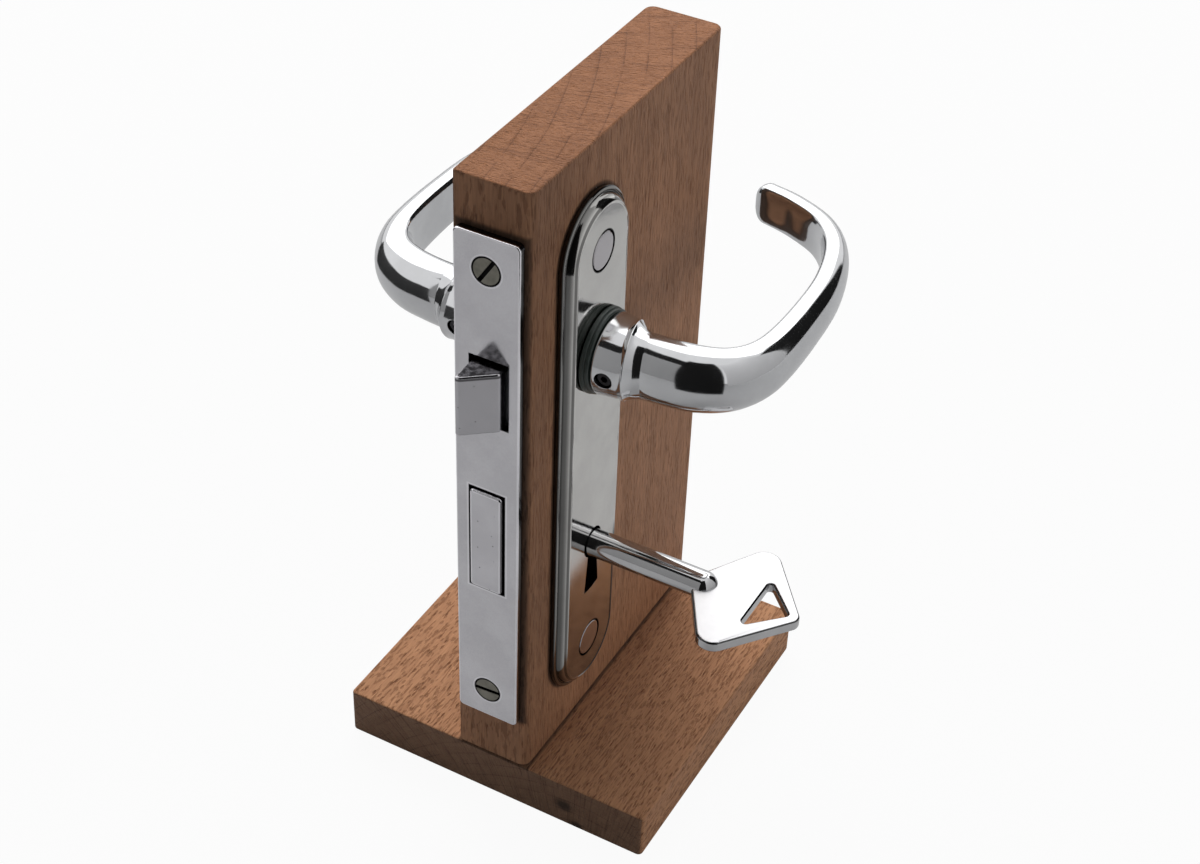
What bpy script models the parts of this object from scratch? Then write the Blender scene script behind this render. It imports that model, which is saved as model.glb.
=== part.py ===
"""Mortise lock with lever handles and a bitted key, fitted to a beech display block.

Metres, +Z up. The origin is the centre of the foot's underside. The forend faces -Y, the key
stands on the +X side, and the handles and the key turn about axes that run along X.
"""
import math

import bmesh
import bpy
from mathutils import Matrix, Vector

PART_COLLECTION = "mortise_lock"
CUTTER_COLLECTION = "cutters"

# Clearances
SEAT_GAP = 0.0003
RUN_GAP = 0.0004
CUT_OVERRUN = 0.002
MERGE = 0.00001

# Foot and door block
FOOT_WIDTH = 0.105
FOOT_DEPTH = 0.106
FOOT_THICK = 0.0165
FOOT_CORNER = 0.0015
BLOCK_THICK = 0.024
BLOCK_SETBACK = 0.0005
BLOCK_ABOVE_PLATE = 0.0143
BLOCK_CORNER = 0.003
BLOCK_SHARP_CORNER = 0.0012
WOOD_EDGE = 0.0006
FOOT_SCREW_SPACING = 0.060
FOOT_SCREW_LENGTH = 0.036
FOOT_SCREW_RADIUS = 0.0021
FOOT_SCREW_HEAD_RADIUS = 0.0042

# Lock axes
BACKSET = 0.030
AXIS_CENTRES = 0.070

# Case and cover
CASE_THICK = 0.014
CASE_SHEET = 0.0012
CASE_ABOVE_SPINDLE = 0.0235
CASE_BELOW_KEY = 0.0205
CASE_BEHIND_AXIS = 0.0332
MORTISE_GAP = 0.0003
PILLAR_RADIUS = 0.0025
PILLAR_ABOVE_KEY = 0.0450
PILLAR_BEFORE_AXIS = 0.002
CASE_SCREW_RADIUS = 0.0010
CASE_SCREW_HEAD_RADIUS = 0.0023
CASE_SCREW_LENGTH = 0.0075
PIN_RADIUS = 0.0015

# Forend
FOREND_WIDTH = 0.020
FOREND_END = 0.0105
FOREND_THICK = 0.0026
FOREND_CORNER = 0.0016
FOREND_EDGE = 0.0003
FOREND_CENTRE_BELOW_SPINDLE = 0.0365
FOREND_SCREW_SPACING = 0.150
FOREND_LENGTH = FOREND_SCREW_SPACING + 2 * FOREND_END
FOREND_SCREW_RADIUS = 0.0020
FOREND_SCREW_HEAD_RADIUS = 0.0043
FOREND_SCREW_LENGTH = 0.020
SCREW_RIM = 0.0002
SCREW_POINT = 0.004
SCREW_LIP = 0.0004
SLOT_WIDTH = 0.0010
SLOT_DEPTH = 0.0009
UPPER_SLOT_TURN = math.radians(52.0)
LOWER_SLOT_TURN = math.radians(4.0)

# Bolts
BOLT_THICK = 0.0104
BOLT_EDGE = 0.0006
LATCH_HEIGHT = 0.0194
LATCH_WIDTH = 0.0098
LATCH_SHIFT = 0.0007
LATCH_THROW = 0.0094
LATCH_TIP_LAND = 0.0014
LATCH_SIDE_DEPTH = 0.0026
LATCH_HEAD_LENGTH = 0.0210
LATCH_SHOULDER = 0.0015
LATCH_OPENING_GAP = 0.0013
TAIL_THICK = 0.005
TAIL_STRIP = 0.003
TAIL_LAP = 0.002
TAIL_WALL = 0.003
LUG_THICK = 0.0035
LUG_REACH = 0.0064
DEADBOLT_HEIGHT = 0.0356
DEADBOLT_HEAD_LENGTH = 0.0202
DEADBOLT_PROUD = 0.0010
DEADBOLT_TRAVEL = 0.010
DEADBOLT_OPENING_GAP = 0.0005
BOLT_PLATE_THICK = 0.003
BOLT_PLATE_LAP = 0.003
BOLT_PLATE_HEIGHT = 0.0138
BOLT_PLATE_REACH = 0.022
GUIDE_PIN_BEHIND_AXIS = 0.011
TALON_ENGAGEMENT = 0.0020
STUMP_BEHIND_AXIS = 0.001
STUMP_RADIUS = 0.0015

# Follower and spindle
SPINDLE_SIZE = 0.008
SPINDLE_LENGTH = 0.055
SPINDLE_EDGE = 0.0004
HUB_RADIUS = 0.0086
HUB_JOURNAL_RADIUS = 0.0069
ARM_THICK = 0.004
ARM_REACH = 0.0152
ARM_ROOT = 0.001

# Latch spring
SPRING_WIRE = 0.0008
SPRING_RADIUS = 0.0026
SPRING_TURNS = 8
SPIGOT_RADIUS = 0.0017
SPIGOT_LENGTH = 0.004

# Tumblers
TUMBLER_COUNT = 2
TUMBLER_THICK = 0.0012
TUMBLER_LIFT = math.radians(5.0)
TUMBLER_PIVOT_BEHIND_AXIS = 0.0275
TUMBLER_PIVOT_ABOVE_KEY = 0.0175
TUMBLER_BOSS_RADIUS = 0.0034
TUMBLER_WALL = 0.0014
LEAF_THICK = 0.0005
LEAF_BEND = 0.080
LEAF_SWEEP = 18.0

# Back plates
PLATE_ABOVE_FOOT = 0.016
PLATE_HALF_WIDTH = 0.0172
PLATE_SCREW_ABOVE_SPINDLE = 0.0320
PLATE_SCREW_BELOW_KEY = 0.0388
PLATE_EDGE_PROFILE = (
    (0.0, 0.0),
    (0.0, 0.0011),
    (0.0003, 0.00135),
    (0.0010, 0.0015),
    (0.00135, 0.00125),
    (0.00165, 0.0014),
    (0.0019, 0.0022),
    (0.0025, 0.0031),
    (0.0032, 0.00375),
    (0.0037, 0.0040),
    (0.0039, 0.0040),
    (0.0041, 0.00388),
)
PLATE_FACE = PLATE_EDGE_PROFILE[-1][1]
BOLT_HEAD_RADIUS = 0.00585
BOLT_HEAD_THICK = 0.0015
BOLT_HEAD_EDGE = 0.0002
SLEEVE_RADIUS = 0.0036
SLEEVE_LENGTH = 0.0205
SLEEVE_WEB = 0.001
THROUGH_BOLT_RADIUS = 0.0019
THROUGH_BOLT_LENGTH = 0.0230

# Bush
BUSH_RADIUS = 0.0126
BUSH_FLANGE = 0.0027
BUSH_SPIGOT_RADIUS = 0.0087
BUSH_SPIGOT_LENGTH = 0.0030
BUSH_EDGE = 0.0004

# Handle: each station is the distance out from the block's middle plane, the distance back
# from the spindle, and the section's half thickness and half height.
COLLAR_RADIUS = 0.0119
COLLAR_EDGE = 0.0005
RIDGE_OUT = 0.0266
RIDGE_RADIUS = 0.0115
RIDGE_TILT = math.radians(10.5)
NECK_SPIGOT_RADIUS = 0.0069
NECK_STATIONS = (
    (0.0273, -0.0001, 0.0098, 0.0109),
    (0.0286, -0.0003, 0.0083, 0.0103),
)
GRIP_STATIONS = (
    (0.0310, -0.0003, 0.0075, 0.0101),
    (0.0375, 0.0001, 0.0070, 0.0099),
    (0.0452, 0.0015, 0.0067, 0.0097),
    (0.0524, 0.0054, 0.0059, 0.0093),
    (0.0571, 0.0125, 0.0051, 0.0089),
    (0.0589, 0.0226, 0.0047, 0.0085),
    (0.0590, 0.0389, 0.0044, 0.0080),
    (0.0576, 0.0558, 0.0042, 0.0076),
    (0.0528, 0.0722, 0.0040, 0.0072),
    (0.0450, 0.0830, 0.0039, 0.0069),
    (0.0333, 0.0891, 0.0040, 0.0067),
    (0.0234, 0.0916, 0.0039, 0.0065),
)
GRIP_STEPS = 3
TIP_STEPS = 4
TIP_LENGTH = 0.0042
SECTION_POINTS = 24
ROUND_POWER = 2.0
OUTER_POWER = 2.1
INNER_POWER = 4.0
INNER_FLATNESS = 0.70
LEFT_HANDLE_PLAY = math.radians(2.2)
GRUB_OUT = 0.0234
GRUB_TURN = math.radians(5.0)
GRUB_RADIUS = 0.0023
GRUB_RECESS = 0.0012
GRUB_SOCKET = 0.0011
GRUB_SOCKET_DEPTH = 0.0018

# Key
KEY_STEM_RADIUS = 0.00425
KEY_STEM_INNER_END = -0.0088
KEY_STEM_OUTER_END = 0.0570
KEY_STEM_EDGE = 0.001
KEY_BIT_RADIUS = 0.0162
KEY_BIT_SIDE_RADIUS = 0.0136
KEY_BIT_LENGTH = 0.0098
KEY_BIT_CENTRE_STEP = 0.0032
KEY_BIT_THICK = 0.0024
KEY_BOW_THICK = 0.0036
KEY_BOW_EDGE = 0.0010
KEY_BOW_CORNERS = ((0.0510, 0.0045), (0.0637, 0.0256), (0.0836, 0.0))
KEY_BOW_CORNER_RADII = (0.0010, 0.0050, 0.0030)
KEY_BOW_DROP = 0.0007
KEY_HOLE_CORNERS = ((0.0691, 0.0108), (0.0797, 0.0))
KEY_HOLE_CORNER_RADIUS = 0.0010
KEYHOLE_RADIUS = 0.0050
KEYHOLE_DEPTH = 0.0182
KEYHOLE_TOP_HALF = 0.0026
KEYHOLE_BOTTOM_HALF = 0.0041
CASE_KEYHOLE_HALF = 0.0016
WOOD_KEYHOLE_MARGIN = 0.0010

# Places worked out from the sizes above
FRONT_Y = -FOOT_DEPTH / 2
AXIS_Y = FRONT_Y + BACKSET
KEY_Z = FOOT_THICK + PLATE_ABOVE_FOOT + PLATE_HALF_WIDTH + PLATE_SCREW_BELOW_KEY
SPINDLE_Z = KEY_Z + AXIS_CENTRES
BLOCK_DEPTH = FOOT_DEPTH - BLOCK_SETBACK
BLOCK_TOP_Z = SPINDLE_Z + PLATE_SCREW_ABOVE_SPINDLE + PLATE_HALF_WIDTH + BLOCK_ABOVE_PLATE
BLOCK_FACE = BLOCK_THICK / 2
PLATE_BACK_X = BLOCK_FACE + SEAT_GAP
PLATE_FACE_X = PLATE_BACK_X + PLATE_FACE
PLATE_SCREW_HEIGHTS = (
    SPINDLE_Z + PLATE_SCREW_ABOVE_SPINDLE,
    KEY_Z - PLATE_SCREW_BELOW_KEY,
)
FOREND_BACK_Y = FRONT_Y - SEAT_GAP
FOREND_FACE_Y = FOREND_BACK_Y - FOREND_THICK
FOREND_Z = SPINDLE_Z - FOREND_CENTRE_BELOW_SPINDLE
CASE_HALF = CASE_THICK / 2
CASE_INNER_HALF = CASE_HALF - CASE_SHEET
PIN_HALF = CASE_INNER_HALF - SEAT_GAP
CASE_FRONT_Y = FOREND_BACK_Y + SEAT_GAP * 2
CASE_BACK_Y = AXIS_Y + CASE_BEHIND_AXIS
CASE_TOP_Z = SPINDLE_Z + CASE_ABOVE_SPINDLE
CASE_BOTTOM_Z = KEY_Z - CASE_BELOW_KEY
BUSH_BACK_X = PLATE_FACE_X + SEAT_GAP
BUSH_FRONT_X = BUSH_BACK_X + BUSH_FLANGE
COLLAR_X = BUSH_FRONT_X + SEAT_GAP
SOCKET_SIZE = SPINDLE_SIZE + 2 * SEAT_GAP
LATCH_TIP_Y = FOREND_FACE_Y - LATCH_THROW
LATCH_REAR_Y = LATCH_TIP_Y + LATCH_HEAD_LENGTH
LUG_FRONT_Y = AXIS_Y + ARM_THICK / 2 + SEAT_GAP
LUG_REAR_Y = LUG_FRONT_Y + LUG_THICK
STRIP_Z = SPINDLE_Z + ARM_REACH + RUN_GAP
SPRING_Z = STRIP_Z - SPRING_RADIUS - SPRING_WIRE / 2 - SEAT_GAP
DEADBOLT_BOTTOM_Z = KEY_Z - SEAT_GAP
DEADBOLT_TOP_Z = DEADBOLT_BOTTOM_Z + DEADBOLT_HEIGHT
DEADBOLT_FACE_Y = FOREND_FACE_Y - DEADBOLT_PROUD
DEADBOLT_REAR_Y = DEADBOLT_FACE_Y + DEADBOLT_HEAD_LENGTH
DEADBOLT_BACK_TRAVEL = DEADBOLT_TRAVEL / 4
DEADBOLT_FORWARD_TRAVEL = DEADBOLT_TRAVEL * 3 / 4
BOLT_PLATE_BOTTOM = KEY_BIT_RADIUS - TALON_ENGAGEMENT
BOLT_PLATE_TOP = BOLT_PLATE_BOTTOM + BOLT_PLATE_HEIGHT
GUIDE_ABOVE_KEY = BOLT_PLATE_TOP - 0.0035

# Outlines in the Y-Z plane are extruded along X, in X-Z along -Y and in X-Y along Z.
PLANE_YZ = Matrix(((0, 0, 1, 0), (1, 0, 0, 0), (0, 1, 0, 0), (0, 0, 0, 1)))
PLANE_XZ = Matrix(((1, 0, 0, 0), (0, 0, -1, 0), (0, 1, 0, 0), (0, 0, 0, 1)))
PLANE_XY = Matrix.Identity(4)
ALONG_X = Matrix.Rotation(math.pi / 2, 4, "Y")
ALONG_MINUS_X = Matrix.Rotation(-math.pi / 2, 4, "Y")
ALONG_MINUS_Y = Matrix.Rotation(math.pi / 2, 4, "X")
ALONG_Y = Matrix.Rotation(-math.pi / 2, 4, "X")

MATERIALS = {
    "beech_block": ((0.34, 0.17, 0.10), 0.55, 0.0),
    "beech_foot": ((0.38, 0.20, 0.12), 0.55, 0.0),
    "polished_chrome": ((0.80, 0.81, 0.83), 0.08, 1.0),
    "satin_steel": ((0.60, 0.60, 0.60), 0.30, 1.0),
    "zinc_steel": ((0.50, 0.51, 0.52), 0.35, 1.0),
    "brass": ((0.72, 0.56, 0.27), 0.30, 1.0),
    "black_nylon": ((0.02, 0.025, 0.023), 0.40, 0.0),
    "spring_steel": ((0.35, 0.35, 0.37), 0.30, 1.0),
    "dark_steel": ((0.12, 0.12, 0.12), 0.40, 1.0),
}


def clear_scene():
    for obj in list(bpy.data.objects):
        bpy.data.objects.remove(obj, do_unlink=True)


def new_collection(name):
    collection = bpy.data.collections.get(name) or bpy.data.collections.new(name)
    if name not in bpy.context.scene.collection.children:
        bpy.context.scene.collection.children.link(collection)
    return collection


def make_material(name, color, roughness, metallic):
    material = bpy.data.materials.new(name)
    material.use_nodes = True
    material.diffuse_color = (*color, 1.0)
    shader = material.node_tree.nodes["Principled BSDF"]
    shader.inputs["Base Color"].default_value = (*color, 1.0)
    shader.inputs["Roughness"].default_value = roughness
    shader.inputs["Metallic"].default_value = metallic
    return material


def add_piece(name, mesh, finish, parent=None):
    """A piece of the lock with its own material. mesh is in world space unless it is parented."""
    obj = bpy.data.objects.new(name, mesh)
    mesh.materials.clear()
    mesh.materials.append(make_material(name + "_finish", *MATERIALS[finish]))
    bpy.data.collections[PART_COLLECTION].objects.link(obj)
    if parent is not None:
        obj.parent = parent
        obj.matrix_parent_inverse = parent.matrix_basis.inverted()
    return obj


def add_cutter(name, mesh):
    obj = bpy.data.objects.new(name, mesh)
    bpy.data.collections[CUTTER_COLLECTION].objects.link(obj)
    obj.hide_render = True
    obj.display_type = "WIRE"
    return obj


def add_pivot(name, location):
    """An empty on a joint's axis, which carries the pieces that turn or slide there."""
    empty = bpy.data.objects.new(name, None)
    empty.location = location
    bpy.data.collections[PART_COLLECTION].objects.link(empty)
    return empty


def boolean(target, tool_mesh, operation, label):
    tool = add_cutter(target.name + "_" + label, tool_mesh)
    if target.parent is not None:
        tool.parent = target.parent
        tool.matrix_parent_inverse = target.parent.matrix_basis.inverted()
    modifier = target.modifiers.new(label, "BOOLEAN")
    modifier.operation = operation
    modifier.solver = "EXACT"
    modifier.object = tool


def cut(target, tool_mesh, label):
    boolean(target, tool_mesh, "DIFFERENCE", label)


def join(target, tool_mesh, label):
    boolean(target, tool_mesh, "UNION", label)


def round_edges(obj, width, segments=2, angle=35.0):
    modifier = obj.modifiers.new("rounded_edges", "BEVEL")
    modifier.width = width
    modifier.segments = segments
    modifier.limit_method = "ANGLE"
    modifier.angle_limit = math.radians(angle)
    modifier.use_clamp_overlap = True


def smooth(mesh, angle=35.0):
    mesh.shade_smooth()
    mesh.set_sharp_from_angle(angle=math.radians(angle))
    return mesh


def mesh_from_bmesh(name, bm):
    mesh = bpy.data.meshes.new(name)
    bm.to_mesh(mesh)
    bm.free()
    return mesh


def box_mesh(name, low, high):
    low = Vector(low)
    high = Vector(high)
    bm = bmesh.new()
    place = Matrix.Translation((low + high) / 2) @ Matrix.Diagonal((*(high - low), 1.0))
    bmesh.ops.create_cube(bm, size=1.0, matrix=place)
    return mesh_from_bmesh(name, bm)


def rod_mesh(name, radius, start, end, place, segments=24):
    """A plain cylinder on the local Z axis from start to end."""
    bm = bmesh.new()
    middle = Matrix.Translation((0, 0, (start + end) / 2))
    bmesh.ops.create_cone(bm, cap_ends=True, segments=segments, radius1=radius, radius2=radius,
                          depth=abs(end - start), matrix=place @ middle)
    return mesh_from_bmesh(name, bm)


def evaluated_mesh(obj):
    """The mesh that an object's modifiers or curve settings give, in world space."""
    depsgraph = bpy.context.evaluated_depsgraph_get()
    mesh = bpy.data.meshes.new_from_object(obj.evaluated_get(depsgraph))
    bm = bmesh.new()
    bm.from_mesh(mesh)
    bmesh.ops.remove_doubles(bm, verts=bm.verts, dist=MERGE)
    bm.to_mesh(mesh)
    bm.free()
    mesh.transform(obj.matrix_world)
    return mesh


def turned_mesh(name, profile, place, segments=32, closed=False):
    """A profile of (radius, height) points, outer side downwards, turned about local Z."""
    points = [(radius, 0.0, height) for radius, height in profile]
    edges = [(i, i + 1) for i in range(len(points) - 1)]
    if closed:
        edges.append((len(points) - 1, 0))
    profile_mesh = bpy.data.meshes.new(name)
    profile_mesh.from_pydata(points, edges, [])
    guide = add_cutter(name + "_profile", profile_mesh)
    guide.matrix_world = place
    screw = guide.modifiers.new("turn", "SCREW")
    screw.axis = "Z"
    screw.angle = 2 * math.pi
    screw.steps = segments
    screw.render_steps = segments
    screw.use_merge_vertices = True
    screw.merge_threshold = MERGE
    bpy.context.view_layer.update()
    mesh = evaluated_mesh(guide)
    bpy.data.objects.remove(guide, do_unlink=True)
    return mesh


def prism_mesh(name, outlines, thickness, place, start=None):
    """Closed outlines filled and extruded along local Z, from start or about the middle."""
    curve = bpy.data.curves.new(name, "CURVE")
    curve.dimensions = "2D"
    curve.fill_mode = "BOTH"
    curve.extrude = thickness / 2
    for outline in outlines:
        spline = curve.splines.new("POLY")
        spline.points.add(len(outline) - 1)
        for point, (u, v) in zip(spline.points, outline):
            point.co = (u, v, 0.0, 1.0)
        spline.use_cyclic_u = True
    guide = add_cutter(name + "_outline", curve)
    shift = 0.0 if start is None else start + thickness / 2
    guide.matrix_world = place @ Matrix.Translation((0, 0, shift))
    bpy.context.view_layer.update()
    mesh = evaluated_mesh(guide)
    bpy.data.objects.remove(guide, do_unlink=True)
    return mesh


def arc(centre, radius, start_deg, end_deg, steps):
    """Points on an arc, both ends included."""
    points = []
    for i in range(steps + 1):
        angle = math.radians(start_deg + (end_deg - start_deg) * i / steps)
        points.append((centre[0] + radius * math.cos(angle), centre[1] + radius * math.sin(angle)))
    return points


def rectangle(low, high):
    return [low, (high[0], low[1]), high, (low[0], high[1])]


def rounded_rectangle(width, height, radii, centre=(0.0, 0.0), steps=3):
    """Outline with a corner radius for each quarter: (+,+), (-,+), (-,-) and (+,-)."""
    points = []
    for quarter, (sx, sy) in enumerate(((1, 1), (-1, 1), (-1, -1), (1, -1))):
        radius = radii[quarter]
        corner = (centre[0] + sx * (width / 2 - radius), centre[1] + sy * (height / 2 - radius))
        points += arc(corner, radius, 90 * quarter, 90 * quarter + 90, steps)
    return points


def stadium(half_width, centre_y, low_z, high_z, steps=14):
    points = arc((centre_y, high_z), half_width, 0, 180, steps)
    points += arc((centre_y, low_z), half_width, 180, 360, steps)
    return points


def rounded_corners(corners, radii, steps=4):
    """A closed outline whose corners are replaced by arcs of the given radii."""
    points = []
    count = len(corners)
    for i in range(count):
        before = Vector(corners[i - 1])
        corner = Vector(corners[i])
        after = Vector(corners[(i + 1) % count])
        to_before = (before - corner).normalized()
        to_after = (after - corner).normalized()
        half = to_before.angle(to_after) / 2
        middle = corner + (to_before + to_after).normalized() * (radii[i] / math.sin(half))
        first = corner + to_before * (radii[i] / math.tan(half)) - middle
        turn = (corner + to_after * (radii[i] / math.tan(half)) - middle).angle_signed(first)
        for step in range(steps + 1):
            angle = turn * step / steps
            spun = Vector((first.x * math.cos(angle) - first.y * math.sin(angle),
                           first.x * math.sin(angle) + first.y * math.cos(angle)))
            points.append(tuple(middle + spun))
    return points


def loft_mesh(name, rings):
    """Rings of equally many points, skinned one to the next and closed by flat ends."""
    bm = bmesh.new()
    rows = [[bm.verts.new(point) for point in ring] for ring in rings]
    for row, next_row in zip(rows, rows[1:]):
        for i in range(len(row)):
            j = (i + 1) % len(row)
            bm.faces.new((row[i], row[j], next_row[j], next_row[i]))
    bm.faces.new(rows[0][::-1])
    bm.faces.new(rows[-1])
    bmesh.ops.recalc_face_normals(bm, faces=bm.faces)
    return mesh_from_bmesh(name, bm)


def keyhole_outline(radius, top_half, bottom_half, depth, steps=12):
    """A round hole on the key's axis with a skirt that flares down to an arc."""
    join_angle = math.degrees(math.asin(top_half / radius))
    foot_angle = math.degrees(math.asin(bottom_half / depth))
    points = arc((AXIS_Y, KEY_Z), radius, -90 + join_angle, 270 - join_angle, steps)
    points += arc((AXIS_Y, KEY_Z), depth, 270 - foot_angle, 270 + foot_angle, 3)
    return points


def at(x=0.0, y=0.0, z=0.0):
    return Matrix.Translation((x, y, z))


def countersunk_screw(head_radius, shank_radius, length, head_depth, point=0.0):
    """Profile of a screw with its head face at height 0 and an optional pointed end."""
    end = shank_radius if point == 0.0 else shank_radius * 0.3
    profile = [(0.0, 0.0), (head_radius, 0.0), (head_radius, -SCREW_RIM)]
    profile += [(shank_radius, -head_depth)]
    if point > 0.0:
        profile.append((shank_radius, point - length))
    profile += [(end, -length), (0.0, -length)]
    return profile


def countersunk_hole(head_radius, shank_radius, depth, head_depth):
    """Profile of the hole that a countersunk screw seats in, open above and below."""
    head = head_radius + SEAT_GAP
    shank = shank_radius + SEAT_GAP
    return [(0.0, CUT_OVERRUN), (head, CUT_OVERRUN), (head, -SCREW_RIM), (shank, -head_depth),
            (shank, -depth - CUT_OVERRUN), (0.0, -depth - CUT_OVERRUN)]


def make_foot():
    outline = rounded_rectangle(FOOT_WIDTH, FOOT_DEPTH, (FOOT_CORNER,) * 4)
    foot = add_piece("display_foot", prism_mesh("foot", [outline], FOOT_THICK, PLANE_XY, 0.0),
                     "beech_foot")
    round_edges(foot, WOOD_EDGE, 1, 50.0)
    upside_down = Matrix.Rotation(math.pi, 4, "X")
    head = FOOT_SCREW_HEAD_RADIUS
    head_depth = head - FOOT_SCREW_RADIUS + SCREW_RIM
    for label, side in (("front", -1), ("rear", 1)):
        y = side * FOOT_SCREW_SPACING / 2
        place = at(y=y, z=SEAT_GAP) @ upside_down
        hole = countersunk_hole(head, FOOT_SCREW_RADIUS, FOOT_THICK, head_depth)
        cut(foot, turned_mesh("hole", hole, place, 20), "screw_hole_" + label)
        screw = countersunk_screw(head, FOOT_SCREW_RADIUS, FOOT_SCREW_LENGTH, head_depth,
                                  SCREW_POINT)
        name = "foot_screw_" + label
        piece = add_piece(name, smooth(turned_mesh(name, screw, place, 20)), "zinc_steel")
        slot = box_mesh("slot", (-SLOT_WIDTH / 2, y - head * 2, -CUT_OVERRUN),
                        (SLOT_WIDTH / 2, y + head * 2, SEAT_GAP + SLOT_DEPTH))
        cut(piece, slot, "slot")


def make_block():
    centre = (0.0, FRONT_Y + BLOCK_DEPTH / 2)
    radii = (BLOCK_CORNER, BLOCK_CORNER, BLOCK_SHARP_CORNER, BLOCK_CORNER)
    outline = rounded_rectangle(BLOCK_THICK, BLOCK_DEPTH, radii, centre)
    start = FOOT_THICK + SEAT_GAP
    mesh = prism_mesh("block", [outline], BLOCK_TOP_Z - start, PLANE_XY, start)
    block = add_piece("door_block", mesh, "beech_block")
    round_edges(block, WOOD_EDGE, 1, 50.0)
    half = CASE_HALF + MORTISE_GAP
    cut(block, box_mesh("mortise", (-half, FRONT_Y - CUT_OVERRUN, CASE_BOTTOM_Z - MORTISE_GAP),
                        (half, CASE_BACK_Y + MORTISE_GAP, CASE_TOP_Z + MORTISE_GAP)), "mortise")
    reach = BLOCK_FACE + CUT_OVERRUN
    spindle_bore = rod_mesh("bore", BUSH_SPIGOT_RADIUS + RUN_GAP * 3, -reach, reach,
                            at(y=AXIS_Y, z=SPINDLE_Z) @ ALONG_X, 32)
    cut(block, spindle_bore, "spindle_bore")
    keyway = keyhole_outline(KEYHOLE_RADIUS + WOOD_KEYHOLE_MARGIN,
                             KEYHOLE_TOP_HALF + WOOD_KEYHOLE_MARGIN,
                             KEYHOLE_BOTTOM_HALF + WOOD_KEYHOLE_MARGIN,
                             KEYHOLE_DEPTH + WOOD_KEYHOLE_MARGIN)
    cut(block, prism_mesh("keyway", [keyway], reach * 2, PLANE_YZ), "keyway")
    for index, z in enumerate(PLATE_SCREW_HEIGHTS):
        bore = rod_mesh("bore", SLEEVE_RADIUS + RUN_GAP, -reach, reach, at(y=AXIS_Y, z=z) @ ALONG_X)
        cut(block, bore, "sleeve_bore_%d" % index)
    for index, side in enumerate((1, -1)):
        z = FOREND_Z + side * FOREND_SCREW_SPACING / 2
        depth = FOREND_SCREW_LENGTH - FOREND_THICK + SEAT_GAP * 2
        pilot = rod_mesh("pilot", FOREND_SCREW_RADIUS + SEAT_GAP, -depth, CUT_OVERRUN,
                         at(y=FRONT_Y, z=z) @ ALONG_MINUS_Y, 16)
        cut(block, pilot, "forend_pilot_%d" % index)
    for index, side in enumerate((-1, 1)):
        top = FOOT_SCREW_LENGTH + SEAT_GAP * 3
        pilot = rod_mesh("pilot", FOOT_SCREW_RADIUS + SEAT_GAP, start - CUT_OVERRUN, top,
                         at(y=side * FOOT_SCREW_SPACING / 2), 16)
        cut(block, pilot, "foot_pilot_%d" % index)


def case_keyhole():
    radius = KEY_STEM_RADIUS + RUN_GAP
    return keyhole_outline(radius, CASE_KEYHOLE_HALF, CASE_KEYHOLE_HALF,
                           KEY_BIT_RADIUS + RUN_GAP * 1.5)


def pillar_places():
    """Y and Z of the pillars that carry the cover."""
    front = CASE_FRONT_Y + PILLAR_RADIUS + SEAT_GAP
    rear = CASE_BACK_Y - CASE_SHEET - PILLAR_RADIUS * 2
    return (
        (front, CASE_TOP_Z - CASE_SHEET - PILLAR_RADIUS - SEAT_GAP),
        (AXIS_Y - PILLAR_BEFORE_AXIS, KEY_Z + PILLAR_ABOVE_KEY),
        (rear, CASE_BOTTOM_Z + CASE_SHEET + PILLAR_RADIUS * 2),
    )


def make_case():
    outer = box_mesh("tray", (-CASE_HALF, CASE_FRONT_Y, CASE_BOTTOM_Z),
                     (CASE_INNER_HALF - SEAT_GAP, CASE_BACK_Y, CASE_TOP_Z))
    case = add_piece("lock_case", outer, "zinc_steel")
    round_edges(case, CASE_SHEET / 2, 1, 50.0)
    cut(case, box_mesh("space", (-CASE_INNER_HALF, CASE_FRONT_Y - CUT_OVERRUN,
                                 CASE_BOTTOM_Z + CASE_SHEET),
                       (CASE_HALF + CUT_OVERRUN, CASE_BACK_Y - CASE_SHEET,
                        CASE_TOP_Z - CASE_SHEET)), "space")
    journal = rod_mesh("journal", HUB_JOURNAL_RADIUS + RUN_GAP, -CASE_HALF - CUT_OVERRUN, 0.0,
                       at(y=AXIS_Y, z=SPINDLE_Z) @ ALONG_X)
    cut(case, journal, "journal_hole")
    cut(case, prism_mesh("keyhole", [case_keyhole()], CASE_HALF, PLANE_YZ,
                         -CASE_HALF - CUT_OVERRUN), "keyhole")
    spigot = rod_mesh("spigot", SPIGOT_RADIUS, CASE_BACK_Y - CASE_SHEET - SPIGOT_LENGTH,
                      CASE_BACK_Y - CASE_SHEET / 2, at(z=SPRING_Z) @ ALONG_Y, 16)
    join(case, spigot, "spring_spigot")


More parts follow.
